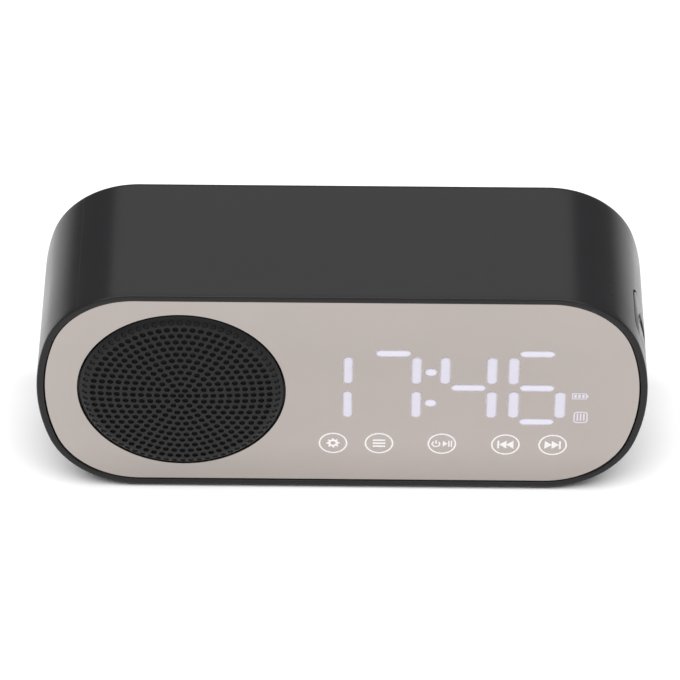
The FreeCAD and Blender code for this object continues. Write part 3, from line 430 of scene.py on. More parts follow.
lit_white = light_material("lit_white", (0.86, 0.83, 0.96), strength=0.96, base=(0.0, 0.0, 0.0))
# The key print's ink gets a faint emission: painted light that brightens the print, though the
# print is no lamp
ink_white_painted_glow = light_material("ink_white_painted_glow", (0.92, 0.89, 0.9), strength=0.28, base=(0.63, 0.61, 0.615))

# The finish of every CAD node, also of those that a piece stands for
finishes = (
    (housing_plastic, ("housing", "port_panel")),
    (inner_plastic, ("front_frame",)),
    (mirror_silver, ("mirror_panel",)),
    (grille_coat, ("speaker_grille",)),
    (cloth, ("grille_cloth", "speaker_spider")),
    (foam, ("speaker_gasket", "touch_pads", "battery_cushion")),
    (rubber, ("speaker_surround", "rubber_feet")),
    (paper, ("speaker_cone", "dust_cap")),
    (copper, ("voice_coil",)),
    (ferrite, ("magnet_ring",)),
    (coated_steel, ("speaker_basket",)),
    (dark_steel, ("charging_socket", "card_socket")),
    (plated_steel, ("magnet_top_plate", "magnet_yoke", "radio_module")),
    (plated_steel, ("speaker_screws", "board_screws", "rear_screws")),
    (white_plastic, ("light_box", "diffuser_film", "display_lamps")),
    (white_plastic, ("speaker_terminals", "speaker_plug", "battery_plug")),
    (black_plastic, ("mirror_tape", "controller_chip", "amplifier_chip")),
    (black_plastic, ("socket_tongue", "audio_jack")),
    (board_mask, ("main_board",)),
    (cell_sleeve, ("battery_cell",)),
)
for finish, node_names in finishes:
    for node_name in node_names:
        for material_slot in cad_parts[node_name].material_slots:
            material_slot.link = "OBJECT"
            material_slot.material = finish


# Mesh helpers


def make_piece(name, mesh, material, node=None, sharp_angle=SHARP_ANGLE):
    """A finished piece on the case, smooth but for its sharp edges. It may stand for a node."""
    mesh.materials.clear()
    mesh.materials.append(material)
    mesh.shade_smooth()
    mesh.set_sharp_from_angle(angle=math.radians(sharp_angle))
    piece = bpy.data.objects.new(name, mesh)
    bpy.context.scene.collection.objects.link(piece)
    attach(piece, "case")
    if node:
        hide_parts(node)
    return piece


def mesh_of(shape, name):
    """Turns a bmesh into a mesh with its faces pointing outwards."""
    bmesh.ops.recalc_face_normals(shape, faces=shape.faces)
    mesh = bpy.data.meshes.new(name)
    shape.to_mesh(mesh)
    shape.free()
    return mesh


def add_loop(shape, points):
    """Adds a loop of vertices from places of x, depth and z."""
    return [shape.verts.new(at(*point)) for point in points]


def add_outline(shape, outline, depth):
    """Adds a loop of vertices at one depth from an outline in x and z."""
    return add_loop(shape, [(x, depth, z) for x, z in outline])


def bridge(shape, near, far):
    """Joins two loops of as many vertices with quads."""
    for index in range(len(near)):
        after = (index + 1) % len(near)
        shape.faces.new((near[index], near[after], far[after], far[index]))


def stack(shape, loops, closed=False):
    """Joins loop after loop, and the last to the first if closed, or else caps both ends."""
    for near, far in zip(loops, loops[1:]):
        bridge(shape, near, far)
    if closed:
        bridge(shape, loops[-1], loops[0])
    else:
        shape.faces.new(loops[0])
        shape.faces.new(loops[-1][::-1])


def circle_points(x, z, radius, count, start=0.0, end=360.0):
    """Points in x and z round a centre, from one angle to just before another."""
    angles = [math.radians(start + (end - start) * step / count) for step in range(count)]
    return [(x + radius * math.cos(a), z + radius * math.sin(a)) for a in angles]


def turned_mesh(name, profile, x, z, sides):
    """A ring or a disc turned from a closed profile of radius and depth."""
    shape = bmesh.new()
    rings = [(circle_points(x, z, radius, sides), depth) for radius, depth in profile]
    stack(shape, [add_outline(shape, ring, depth) for ring, depth in rings], closed=True)
    bmesh.ops.remove_doubles(shape, verts=shape.verts, dist=MERGE_GAP * MM)
    return mesh_of(shape, name)


def prism_mesh(name, outline, near, far):
    """A straight piece between two depths with an outline in x and z."""
    shape = bmesh.new()
    stack(shape, [add_outline(shape, outline, depth) for depth in (near, far)])
    return mesh_of(shape, name)


def cross_prism_mesh(name, outline, left, right):
    """A straight piece between two places in x with an outline in depth and z."""
    shape = bmesh.new()
    stack(shape, [add_loop(shape, [(x, depth, z) for depth, z in outline]) for x in (left, right)])
    return mesh_of(shape, name)


def box_outline(x, z, width, height):
    """A plain rectangle round a middle."""
    half, rise = width / 2, height / 2
    return [(x - half, z - rise), (x + half, z - rise), (x + half, z + rise), (x - half, z + rise)]


def rounded_outline(x, z, half_x, half_z, round_x, round_z, grow=0.0, steps=7):
    """A rectangle with elliptic corners, grown or shrunk all round."""
    points = []
    for side, level, start in ((1, -1, -90.0), (1, 1, 0.0), (-1, 1, 90.0), (-1, -1, 180.0)):
        for step in range(steps + 1):
            angle = math.radians(start + 90.0 * step / steps)
            reach_x = (half_x - round_x) * side + (round_x + grow) * math.cos(angle)
            reach_z = (half_z - round_z) * level + (round_z + grow) * math.sin(angle)
            points.append((x + reach_x, z + reach_z))
    return points


def joined(name, meshes):
    """Several meshes as one."""
    shape = bmesh.new()
    for mesh in meshes:
        shape.from_mesh(mesh)
    result = bpy.data.meshes.new(name)
    shape.to_mesh(result)
    shape.free()
    return result


def evaluated(mesh, set_up):
    """Makes a short-lived object of a mesh, lets set_up give it modifiers, and bakes them."""
    helper = bpy.data.objects.new("helper", mesh)
    bpy.context.scene.collection.objects.link(helper)
    set_up(helper)
    depsgraph = bpy.context.evaluated_depsgraph_get()
    result = bpy.data.meshes.new_from_object(
        helper.evaluated_get(depsgraph), preserve_all_data_layers=True, depsgraph=depsgraph
    )
    helper.modifiers.clear()
    bpy.data.objects.remove(helper)
    return result


def boolean(mesh, operation, groups):
    """Joins or cuts a mesh with groups of others; the meshes of one group don't touch."""
    for group in groups:
        cutter = bpy.data.objects.new("cutter", joined("cutter", group))
        bpy.context.scene.collection.objects.link(cutter)

        def set_up(helper):
            modifier = helper.modifiers.new("cut", "BOOLEAN")
            modifier.operation = operation
            modifier.solver = "EXACT"
            modifier.object = cutter

        mesh = evaluated(mesh, set_up)
        bpy.data.objects.remove(cutter)
    return mesh


def bevelled_copy(node, width, segments):
    """A merged copy of a CAD node with flat faces made whole and its edges rounded."""
    shape = bmesh.new()
    shape.from_mesh(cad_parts[node].data)
    bmesh.ops.remove_doubles(shape, verts=shape.verts, dist=MERGE_GAP * MM)
    bmesh.ops.dissolve_limit(
        shape, angle_limit=math.radians(FLAT_ANGLE), verts=shape.verts, edges=shape.edges
    )
    sharp_angle = math.radians(SHARP_ANGLE)
    sharp = [e for e in shape.edges if e.is_manifold and e.calc_face_angle() > sharp_angle]
    bmesh.ops.bevel(
        shape,
        geom=sharp,
        offset=width * MM,
        offset_type="OFFSET",
        segments=segments,
        profile=0.5,
        affect="EDGES",
        clamp_overlap=True,
    )
    return mesh_of(shape, node + "_rounded")


# Housing


END_CENTRE = BODY_WIDTH / 2 - END_RADIUS
CORNER_RISE = BODY_HEIGHT / 2 - CORNER_RADIUS
CORNER_CENTRE = END_CENTRE + math.sqrt((END_RADIUS - CORNER_RADIUS) ** 2 - CORNER_RISE**2)
JOINT_ANGLE = math.degrees(math.asin(CORNER_RISE / (END_RADIUS - CORNER_RADIUS)))


def outline_points(inset, end_steps=28, corner_steps=40, straight_steps=24):
    """The front outline moved inwards, as points anticlockwise from the lower right joint."""
    corner, end = CORNER_RADIUS - inset, END_RADIUS - inset
    left = 180.0 - JOINT_ANGLE
    half = circle_points(END_CENTRE, 0.0, end, end_steps, -JOINT_ANGLE, JOINT_ANGLE)
    half += circle_points(CORNER_CENTRE, CORNER_RISE, corner, corner_steps, JOINT_ANGLE, 90.0)
    for step in range(straight_steps):
        half.append((CORNER_CENTRE * (1 - 2 * step / straight_steps), BODY_HEIGHT / 2 - inset))
    half += circle_points(-CORNER_CENTRE, CORNER_RISE, corner, corner_steps, 90.0, left)
    return half + [(-x, -z) for x, z in half]


def rounding(inset, depth, radius, start, end, steps):
    """Profile points of a rounded edge: 0 degrees faces outwards, and 90 to the front."""
    points = []
    for step in range(steps + 1):
        angle = math.radians(start + (end - start) * step / steps)
        points.append((inset - radius * math.cos(angle), depth - radius * math.sin(angle)))
    return points


def housing_cup():
    """The closed cup: floor, cavity, lip, drafted side and back, with true rounded edges."""
    draft = math.tan(SIDE_DRAFT)
    profile = [(WALL, depth) for depth in CAVITY_DEPTHS]
    profile += rounding(WALL - LIP_EDGE, LIP_EDGE, LIP_EDGE, 180.0, 90.0, steps=4)
    profile += rounding(FRONT_EDGE, FRONT_EDGE, FRONT_EDGE, 90.0, 0.0, steps=6)
    profile += [(depth * draft, depth) for depth in SIDE_DEPTHS]
    back = BODY_DEPTH * draft + BACK_EDGE
    profile += rounding(back, BODY_DEPTH - BACK_EDGE, BACK_EDGE, 0.0, -90.0, steps=10)
    shape = bmesh.new()
    stack(shape, [add_outline(shape, outline_points(inset), depth) for inset, depth in profile])
    return mesh_of(shape, "housing_cup")


def make_housing():
    """The cup with its posts and ribs, and the wells, bores, port and battery seat cut out."""
    floor = BODY_DEPTH - BACK_WALL
    posts = [circle_points(x, z, POST_RADIUS, POST_SIDES) for x, z in POST_PLACES]
    added = [prism_mesh("post", post, POST_FRONT, floor + OVERLAP) for post in posts]
    reach = (CRADLE_RADIUS + RIB) * 2
    for side in (-1, 1):
        rib = box_outline(BATTERY_X + CRADLE_SPACING / 2 * side, BATTERY_Z, RIB, reach)
        added.append(prism_mesh("rib", rib, BATTERY_DEPTH, floor + OVERLAP))
    mesh = boolean(housing_cup(), "UNION", [added])

    cut, bores = [], []
    for x, z in POST_PLACES:
        well = circle_points(x, z, WELL_RADIUS, POST_SIDES)
        cut.append(prism_mesh("well", well, BODY_DEPTH - WELL_DEPTH, BODY_DEPTH + 2 * OVERLAP))
        bore = circle_points(x, z, BORE_RADIUS, BORE_SIDES)
        bores.append(prism_mesh("bore", bore, *BORE_DEPTHS))
    low, height = -BODY_HEIGHT / 2 - OVERLAP, (OVERLAP + FOOT_SINK) * 2
    for side in (-1, 1):
        outline = box_outline(FOOT_X * side, low, FOOT_LENGTH, height)
        for depth in FOOT_DEPTHS:
            near, far = depth - FOOT_WIDTH / 2, depth + FOOT_WIDTH / 2
            cut.append(prism_mesh("foot_well", outline, near, far))
    half_size, corners = (PORT_WIDTH / 2, PORT_HEIGHT / 2), (PORT_CORNER, PORT_CORNER)
    port = rounded_outline(PORT_DEPTH, 0.0, *half_size, *corners, steps=PORT_CORNER_STEPS)
    cut.append(cross_prism_mesh("port_opening", port, *PORT_CUT))
    seat = circle_points(BATTERY_DEPTH, BATTERY_Z, CRADLE_RADIUS, CRADLE_SIDES)
    left, right = BATTERY_X - CRADLE_REACH, BATTERY_X + CRADLE_REACH
    cut.append(cross_prism_mesh("cradle_seat", seat, left, right))
    return boolean(mesh, "DIFFERENCE", [cut, bores])


make_piece("housing_shell", make_housing(), housing_plastic, "housing")


# Mirror


def make_mirror():
    """The front panel with its round opening and a fine polished chamfer on every edge."""
    shape = bmesh.new()
    profile = (
        (MIRROR_BEVEL, MIRROR_FACE),
        (0.0, MIRROR_FACE + MIRROR_BEVEL),
        (0.0, MIRROR_BACK - MIRROR_BEVEL),
        (MIRROR_BEVEL, MIRROR_BACK),
    )
    outer, inner = [], []
    for bevel, depth in profile:
        inset, radius = MIRROR_INSET + bevel, MIRROR_HOLE + bevel
        points = outline_points(inset, end_steps=48, corner_steps=64, straight_steps=1)
        outer.append(add_outline(shape, points, depth))
        points = circle_points(SPEAKER_X, SPEAKER_Z, radius, MIRROR_HOLE_SIDES)
        inner.append(add_outline(shape, points, depth))
    for loops in (outer, inner):
        for near, far in zip(loops, loops[1:]):
            bridge(shape, near, far)
    for place in (0, -1):
        rim = set(outer[place]) | set(inner[place])
        edges = [e for e in shape.edges if e.verts[0] in rim and e.verts[1] in rim]
        bmesh.ops.triangle_fill(shape, edges=edges, use_beauty=True, use_dissolve=False)
    silvered = shape.faces.layers.float.new("silvered")
    shape.normal_update()
    for face in shape.faces:
        face[silvered] = 1.0 if abs(face.normal.y) > SILVERED_SHARE else 0.0
    return mesh_of(shape, "mirror_glass")


make_piece("mirror_glass", make_mirror(), mirror_silver, "mirror_panel")


# Node trees for what repeats


class NodeTree:
    """A Geometry Nodes tree with named inputs and their values, and short ways to add nodes."""

    def __init__(self, name, values):
        self.tree = bpy.data.node_groups.new(name, "GeometryNodeTree")
        self.values = values
        face = self.tree.interface
        face.new_socket(name="Geometry", in_out="INPUT", socket_type="NodeSocketGeometry")
        kinds = {int: "NodeSocketInt", float: "NodeSocketFloat"}
        self.sockets = {}
        for title, value in values.items():
            kind = kinds.get(type(value), "NodeSocketMaterial")
            self.sockets[title] = face.new_socket(name=title, in_out="INPUT", socket_type=kind)
        face.new_socket(name="Geometry", in_out="OUTPUT", socket_type="NodeSocketGeometry")
        self.start = self.tree.nodes.new("NodeGroupInput")
        self.end = self.tree.nodes.new("NodeGroupOutput")

    def given(self, name):
        """An input of the tree."""
        return self.start.outputs[name]

    def add(self, kind, links=()):
        """Adds a node, and returns its first result."""
        return add_node(self.tree, kind, links).outputs[0]

    def sum(self, operation, first, second=0.0):
        """The result of one step of arithmetic."""
        return add_math(self.tree, operation, first, second)

    def circle(self, radius, sides):
        """A flat ring of straight sides."""
        links = {"Radius": radius, "Resolution": sides}
        return self.add("GeometryNodeCurvePrimitiveCircle", links)

    def copies(self, points, piece, rotation=(0.0, 0.0, 0.0)):
        """A copy of a piece on every point."""
        links = {"Points": points, "Instance": piece, "Rotation": rotation}
        return self.add("GeometryNodeInstanceOnPoints", links)

    def together(self, first, second):
        """Two geometries as one."""
        node = add_node(self.tree, "GeometryNodeJoinGeometry")
        for geometry in (first, second):
            self.tree.links.new(geometry, node.inputs[0])
        return node.outputs[0]

    def finish(self, geometry):
        """Ends the tree: instances made real and the finish set."""
        real = self.add("GeometryNodeRealizeInstances", {"Geometry": geometry})
        links = {"Geometry": real, "Material": self.given("Finish")}
        self.tree.links.new(self.add("GeometryNodeSetMaterial", links), self.end.inputs[0])

    def run(self, mesh):
        """The plain mesh that the tree makes of a mesh."""

        def set_up(helper):
            modifier = helper.modifiers.new("nodes", "NODES")
            modifier.node_group = self.tree
            for title, value in self.values.items():
                modifier[self.sockets[title].identifier] = value

        return evaluated(mesh, set_up)


def point_mesh(points):
    """A mesh of loose points of the frame."""
    mesh = bpy.data.meshes.new("points")
    mesh.from_pydata([at(*point) for point in points], [], [])
    return mesh


# Speaker grille


def perforated_dome():
    """The domed field: rings of round holes in a sheet, six more holes in each next ring."""
    centre = at(SPEAKER_X, -DOME_RISE, SPEAKER_Z)
    tree = NodeTree(
        "perforated_dome",
        {
            "Rings": GRILLE_RINGS,
            "Sides": HOLE_SIDES,
            "Ring Pitch": RING_PITCH * MM,
            "Hole Radius": HOLE_RADIUS * MM,
            "Field Radius": SHOULDER_START * MM,
            "Dome Radius": DOME_RADIUS * MM,
            "Dome Front": centre.y,
            "Sheet": GRILLE_SHEET * MM,
            "Centre X": centre.x,
            "Centre Z": centre.z,
            "Finish": grille_coat,
        },
    )
    # Holes are counted from the middle one, 0, and ring n ends with hole 3 n (n + 1). So the ring
    # of hole k is (sqrt(1 + 4 k / 3) - 1) / 2, rounded up. The 1.002 in place of 1 keeps a ring's
    # last hole from slipping into the next ring.
    rings = tree.given("Rings")
    last = tree.sum("MULTIPLY", tree.sum("MULTIPLY", rings, 3.0), tree.sum("ADD", rings, 1.0))
    holes = tree.sum("ADD", last, 1.0)
    index = tree.add("GeometryNodeInputIndex")
    rooted = tree.sum("SQRT", tree.sum("ADD", tree.sum("MULTIPLY", index, 4.0 / 3.0), 1.0))
    exact = tree.sum("MULTIPLY", tree.sum("SUBTRACT", rooted, 1.002), 0.5)
    ring = tree.sum("CEIL", exact)
    before = tree.sum("MULTIPLY", tree.sum("MULTIPLY", ring, 3.0), tree.sum("SUBTRACT", ring, 1.0))
    number = tree.sum("SUBTRACT", tree.sum("SUBTRACT", index, before), 1.0)
    turn = tree.sum("DIVIDE", tree.sum("MULTIPLY", number, math.pi / 3.0), ring)
    radius = tree.sum("MULTIPLY", ring, tree.given("Ring Pitch"))
    x = tree.sum("MULTIPLY", radius, tree.sum("COSINE", turn))
    z = tree.sum("MULTIPLY", radius, tree.sum("SINE", turn))
    place = tree.add("ShaderNodeCombineXYZ", {"X": x, "Y": z})
    points = tree.add("GeometryNodePoints", {"Count": holes, "Position": place})
    copies = tree.copies(points, tree.circle(tree.given("Hole Radius"), tree.given("Sides")))
    real = tree.add("GeometryNodeRealizeInstances", {"Geometry": copies})
    rim = tree.circle(tree.given("Field Radius"), FIELD_SIDES)
    sheet = tree.add("GeometryNodeFillCurve", {"Curve": tree.together(real, rim)})

    # The flat sheet is bent back to the dome, set upright and given its thickness
    position = tree.add("GeometryNodeInputPosition")
    parts = add_node(tree.tree, "ShaderNodeSeparateXYZ", {"Vector": position}).outputs
    x, z = parts[0], parts[1]
    squared = tree.sum("ADD", tree.sum("MULTIPLY", x, x), tree.sum("MULTIPLY", z, z))
    dome = tree.given("Dome Radius")
    fall = tree.sum("SQRT", tree.sum("SUBTRACT", tree.sum("MULTIPLY", dome, dome), squared))
    depth = tree.sum("ADD", tree.given("Dome Front"), tree.sum("SUBTRACT", dome, fall))
    x = tree.sum("ADD", x, tree.given("Centre X"))
    z = tree.sum("ADD", z, tree.given("Centre Z"))
    placed = tree.add("ShaderNodeCombineXYZ", {"X": x, "Y": depth, "Z": z})
    domed = tree.add("GeometryNodeSetPosition", {"Geometry": sheet, "Position": placed})
    back = tree.add("ShaderNodeCombineXYZ", {"Y": tree.given("Sheet")})
    links = {"Mesh": domed, "Offset": back, "Offset Scale": 1.0, "Individual": False}
    thick = tree.add("GeometryNodeExtrudeMesh", links)
    links = {"Geometry": tree.together(thick, domed), "Distance": MERGE_GAP * MM}
    tree.finish(tree.add("GeometryNodeMergeByDistance", links))
    shape = bmesh.new()
    shape.from_mesh(tree.run(bpy.data.meshes.new("seed")))
    return mesh_of(shape, "perforated_dome")


def dome_depth(radius):
    """How deep the dome's front lies at a distance from its middle."""
    return DOME_RADIUS - math.sqrt(DOME_RADIUS**2 - radius**2) - DOME_RISE


def grille_shoulder():
    """The rolled shoulder with its ring of shallow dimples, and the skirt behind it."""
    start = math.asin(SHOULDER_START / DOME_RADIUS)
    shift = (GRILLE_RADIUS - SHOULDER_START) / SHOULDER_ROUND
    end = math.asin(math.sin(start) + shift)
    centre_depth = dome_depth(SHOULDER_START) + SHOULDER_ROUND * math.cos(start)
    centre_radius = SHOULDER_START - SHOULDER_ROUND * math.sin(start)
    dimple_angle = math.asin((DIMPLE_RING - centre_radius) / SHOULDER_ROUND)
    between = 2 * math.pi / DIMPLES
    steps = DIMPLES * DIMPLE_STEPS
    shape = bmesh.new()
    loops = []

    def in_dimple(angle, turn):
        """Draws a place to the nearest dimple's rims, and tells how deep it is sunk there."""
        middle = between * round(turn / between)
        along = SHOULDER_ROUND * (angle - dimple_angle)
        across = DIMPLE_RING * (turn - middle)
        away = math.hypot(along, across)
        for rim in (DIMPLE_RADIUS - DIMPLE_WALL, DIMPLE_RADIUS):
            if abs(away - rim) <= DIMPLE_WALL / 2:
                along, across, away = along * rim / away, across * rim / away, rim
        sunk = DIMPLE_DEPTH if away < DIMPLE_RADIUS - DIMPLE_WALL / 2 else 0.0
        return dimple_angle + along / SHOULDER_ROUND, middle + across / DIMPLE_RING, sunk

    def add_arc_loop(radius, depth, angle, arc, dimpled=False):
        """Adds one loop round the axis, at an angle on an arc about a radius and a depth."""
        points = []
        for step in range(steps):
            lean, turn, sunk = angle, 2 * math.pi * step / steps, 0.0
            if dimpled:
                lean, turn, sunk = in_dimple(lean, turn)
            reach = radius + (arc - sunk) * math.sin(lean)
            y = depth - (arc - sunk) * math.cos(lean)
            points.append(
                (SPEAKER_X + reach * math.cos(turn), y, SPEAKER_Z + reach * math.sin(turn))
            )
        loops.append(add_loop(shape, points))

    def add_shoulder(rows, first, last, arc, dimpled=False):
        """Adds the loops of a rolled surface from one angle to another."""
        for row in range(rows):
            angle = first + (last - first) * row / (rows - 1)
            add_arc_loop(centre_radius, centre_depth, angle, arc, dimpled)

    add_shoulder(SHOULDER_ROWS, start, end, SHOULDER_ROUND, dimpled=True)
    inner_wall = GRILLE_RADIUS - SHOULDER_SHEET
    for radius, depth in (
        (GRILLE_RADIUS, dome_depth(SHOULDER_START) + SKIRT_DROP),
        (GRILLE_RADIUS, SKIRT_BACK),
        (inner_wall, SKIRT_BACK),
        (inner_wall, SKIRT_INNER_FRONT),
    ):
        add_arc_loop(radius, depth, 0.0, 0.0)
    add_shoulder(INNER_ROWS, end, start, SHOULDER_ROUND - SHOULDER_SHEET)
    stack(shape, loops, closed=True)
    return mesh_of(shape, "grille_shoulder")


grille_mesh = joined("speaker_dome", [perforated_dome(), grille_shoulder()])
make_piece(
    "speaker_dome",
    grille_mesh,
    grille_coat,
    "speaker_grille",
    sharp_angle=GRILLE_SHARP_ANGLE,
)

cloth_profile = [(r, dome_depth(r) + GRILLE_SHEET + CLOTH_GAP) for r in CLOTH_RADII]
cloth_profile += [(r, depth + CLOTH_THICKNESS) for r, depth in cloth_profile[::-1]]
cloth_mesh = turned_mesh("dust_cloth", cloth_profile, SPEAKER_X, SPEAKER_Z, CLOTH_SIDES)
make_piece("dust_cloth", cloth_mesh, cloth, "grille_cloth")


# Lit digits and signs


def add_lit_bar(shape, glow, bar, strength):
    """Adds a thin plate that glows in its middle and fades out at its edge."""
    loops = []
    for depth, grow, level in (
        (INK_FRONT, -LIT_FEATHER, strength),
        (INK_FRONT, LIT_FEATHER, 0.0),
        (INK_BACK, LIT_FEATHER, 0.0),
    ):
        loop = add_outline(shape, rounded_outline(*bar, grow), depth)
        for vertex in loop:
            vertex[glow] = level
        loops.append(loop)
    stack(shape, loops)


def lit_bars():
    """The bars that are lit for 17:46, and the colon between them."""
    near, far = MIDDLE_GAP / 2, MIDDLE_GAP / 2 + DIGIT_PITCH
    # Each digit's place from the middle, the levels of its level bars, and the side and level
    # of its side bars
    shown = (
        (-far, (), ((1, 1), (1, -1))),
        (-near, (1,), ((1, 1), (1, -1))),
        (near, (0,), ((-1, 1), (1, 1), (1, -1))),
        (far, (1, 0, -1), ((-1, 1), (-1, -1), (1, -1))),
    )
    bars = []
    for centre, levels, sides in shown:
        slant = (DIGIT_SLANT + centre * SLANT_GROWTH) * DIGIT_HALF_HEIGHT
        for level in levels:
            x = DIGITS_X + centre + slant * level
            z = DIGITS_Z + DIGIT_HALF_HEIGHT * level + centre * DIGIT_LEAN
            half = BAR_WIDTH / 2
            bars.append((x, z, BAR_LENGTH / 2, half, BAR_END, half * BAR_ROUND, 1.0))
        for side, level in sides:
            x = DIGITS_X + centre + DIGIT_HALF_WIDTH * side + slant * level / 2
            z = DIGITS_Z + DIGIT_HALF_HEIGHT / 2 * level + (x - DIGITS_X) * DIGIT_LEAN
            width = SIDE_WIDTH + x * SIDE_GROWTH
            size = (width / 2, SIDE_LENGTH / 2, width * SIDE_ROUND, SIDE_END)
            bars.append((x, z, *size, SIDE_LIGHT))
    for level in (-1, 1):
        half_x, half_z = COLON_WIDTH / 2, COLON_HEIGHT / 2
        z = DIGITS_Z + COLON_RISE * level
        rounds = (half_x * COLON_ROUND[0], half_z * COLON_ROUND[1])
        bars.append((DIGITS_X, z, half_x, half_z, *rounds, 1.0))
    return bars


def make_lit_digits():
    """All the lit bars as one mesh."""
    shape = bmesh.new()
    glow = shape.verts.layers.float.new("glow")
    for *bar, strength in lit_bars():
        add_lit_bar(shape, glow, bar, strength)
    return mesh_of(shape, "lit_digits")


make_piece("lit_digits", make_lit_digits(), lit_white)


def add_slab(shape, outline):
    """Adds a thin printed plate with an outline in x and z."""
    stack(shape, [add_outline(shape, outline, depth) for depth in (INK_FRONT, INK_BACK)])


def add_band(shape, outer, inner, whole=True):
    """Adds a thin printed band between two outlines, all round or open with capped ends."""
    front = [add_outline(shape, outline, INK_FRONT) for outline in (outer, inner)]
    loops = front + [add_outline(shape, outline, INK_BACK) for outline in (inner, outer)]
    count = len(outer)
    for side in range(4):
        near, far = loops[side], loops[(side + 1) % 4]
        for index in range(count if whole else count - 1):
            after = (index + 1) % count
            shape.faces.new((near[index], near[after], far[after], far[index]))
    if not whole:
        for end in (0, -1):
            shape.faces.new([loop[end] for loop in loops])


def with_full_glow(shape, name, strength=1.0):
    """Turns a bmesh into a mesh that glows alike all over."""
    glow = shape.verts.layers.float.new("glow")
    for vertex in shape.verts:
        vertex[glow] = strength
    return mesh_of(shape, name)


def make_status_signs():
    """A battery and a memory card, drawn small in light."""
    shape = bmesh.new()
    x, z = BATTERY_SIGN
    body, hollow, tip, cell = (3.6, 2.0), (3.15, 1.55), (0.3, 0.9), (0.6, 1.05)
    tip_reach, cell_pitch = 2.0, 0.98
    add_band(shape, box_outline(x, z, *body), box_outline(x, z, *hollow))
    add_slab(shape, box_outline(x + tip_reach, z, *tip))
    for step in (-1, 0, 1):
        add_slab(shape, box_outline(x + cell_pitch * step, z, *cell))
    # Half sizes and corner roundings of the card's two outlines, and a contact's size
    x, z = CARD_SIGN
    outer, inner, contact = (1.75, 1.95, 0.9, 0.9), (1.45, 1.65, 0.6, 0.6), (0.35, 2.5)
    contact_pitch, contact_rise = 0.8, 0.1
    add_band(shape, rounded_outline(x, z, *outer), rounded_outline(x, z, *inner))
    for step in (-1, 0, 1):
        add_slab(shape, box_outline(x + contact_pitch * step, z + contact_rise, *contact))
    return with_full_glow(shape, "status_signs", SIGN_LIGHT)


make_piece("status_signs", make_status_signs(), lit_white)


# Touch keys


def key_rings():
    """A printed ring round every key, set on the key places by a node tree."""
    tree = NodeTree(
        "key_rings",
        {
            "Ring Radius": KEY_RADIUS * MM,
            "Stroke": KEY_STROKE * MM,
            "Ink": INK * MM,
            "Finish": ink_white_painted_glow,
        },
    )
    half_stroke = tree.sum("MULTIPLY", tree.given("Stroke"), 0.5)
    ring = tree.circle(tree.sum("SUBTRACT", tree.given("Ring Radius"), half_stroke), KEY_SIDES)
    links = {"Width": tree.given("Stroke"), "Height": tree.given("Ink")}
    section = tree.add("GeometryNodeCurvePrimitiveQuadrilateral", links)
    band = tree.add("GeometryNodeCurveToMesh", {"Curve": ring, "Profile Curve": section})
    upright = (math.pi / 2, 0.0, 0.0)
    tree.finish(tree.copies(tree.given("Geometry"), band, upright))
    depth = MIRROR_FACE - INK / 2 - INK_GAP
    return tree.run(point_mesh([(x, depth, z) for x, z in KEY_PLACES]))


def add_gear(shape, x, z):
    """A plain toothed wheel with a round hole."""
    tip, root, hole = 1.62, 1.22, 0.62
    steps, tooth_steps, tooth = 64, 8, (0, 1, 2, 7)
    outer, inner = [], []
    for step in range(steps):
        angle = 2 * math.pi * step / steps
        radius = tip if step % tooth_steps in tooth else root
        outer.append((x + radius * math.cos(angle), z + radius * math.sin(angle)))
        inner.append((x + hole * math.cos(angle), z + hole * math.sin(angle)))
    add_band(shape, outer, inner)


def add_bars(shape, x, z):
    """Three plain bars, one above another."""
    pitch, width, height = 1.05, 3.1, 0.52
    for level in (-1, 0, 1):
        add_slab(shape, box_outline(x, z + pitch * level, width, height))


def add_power_and_play(shape, x, z):
    """The power sign, a ring with a bar in its open top, beside the play and pause sign."""
    # The arc is its number of points and the angles that it runs between
    power_x, ring_z = x - 1.45, z - 0.1
    outer_radius, inner_radius, arc = 1.1, 0.74, (40, 125.0, 415.0)
    outer = circle_points(power_x, ring_z, outer_radius, *arc)
    inner = circle_points(power_x, ring_z, inner_radius, *arc)
    add_band(shape, outer, inner, whole=False)
    bar_rise, bar_size = 0.6, (0.36, 1.2)
    add_slab(shape, box_outline(power_x, z + bar_rise, *bar_size))
    play_x, length, rise = x + 0.25, 1.15, 1.05
    add_slab(shape, [(play_x, z - rise), (play_x + length, z), (play_x, z + rise)])
    pause_reach, pause_pitch, pause_width = 1.5, 0.62, 0.34
    for step in (0, 1):
        pause_x = play_x + pause_reach + pause_pitch * step
        add_slab(shape, box_outline(pause_x, z, pause_width, rise * 2))


def add_skip(shape, x, z, way):
    """Two triangles and a bar that point one way."""
    starts, length, rise = (-2.0, -0.25), 1.8, 1.4
    for start in starts:
        base = x + start * way
        tip = [(base, z - rise), (base + length * way, z), (base, z + rise)]
        add_slab(shape, tip if way > 0 else tip[::-1])
    bar_reach, bar_size = 1.8, (0.46, 2.7)
    add_slab(shape, box_outline(x + bar_reach * way, z, *bar_size))


def make_key_print():
    """All that is printed on the mirror: the five signs and the rings round them."""
    shape = bmesh.new()
    gear, bars, power, back, forwards = KEY_PLACES
    add_gear(shape, *gear)
    add_bars(shape, *bars)
    add_power_and_play(shape, *power)
    add_skip(shape, *back, way=-1)
    add_skip(shape, *forwards, way=1)
    shape.from_mesh(key_rings())
    bmesh.ops.remove_doubles(shape, verts=shape.verts, dist=MERGE_GAP / 2 * MM)
    return with_full_glow(shape, "key_print")


# The print's finish adds a painted glow to the ink
make_piece("key_print", make_key_print(), ink_white_painted_glow)


# Ports, feet and rear screws


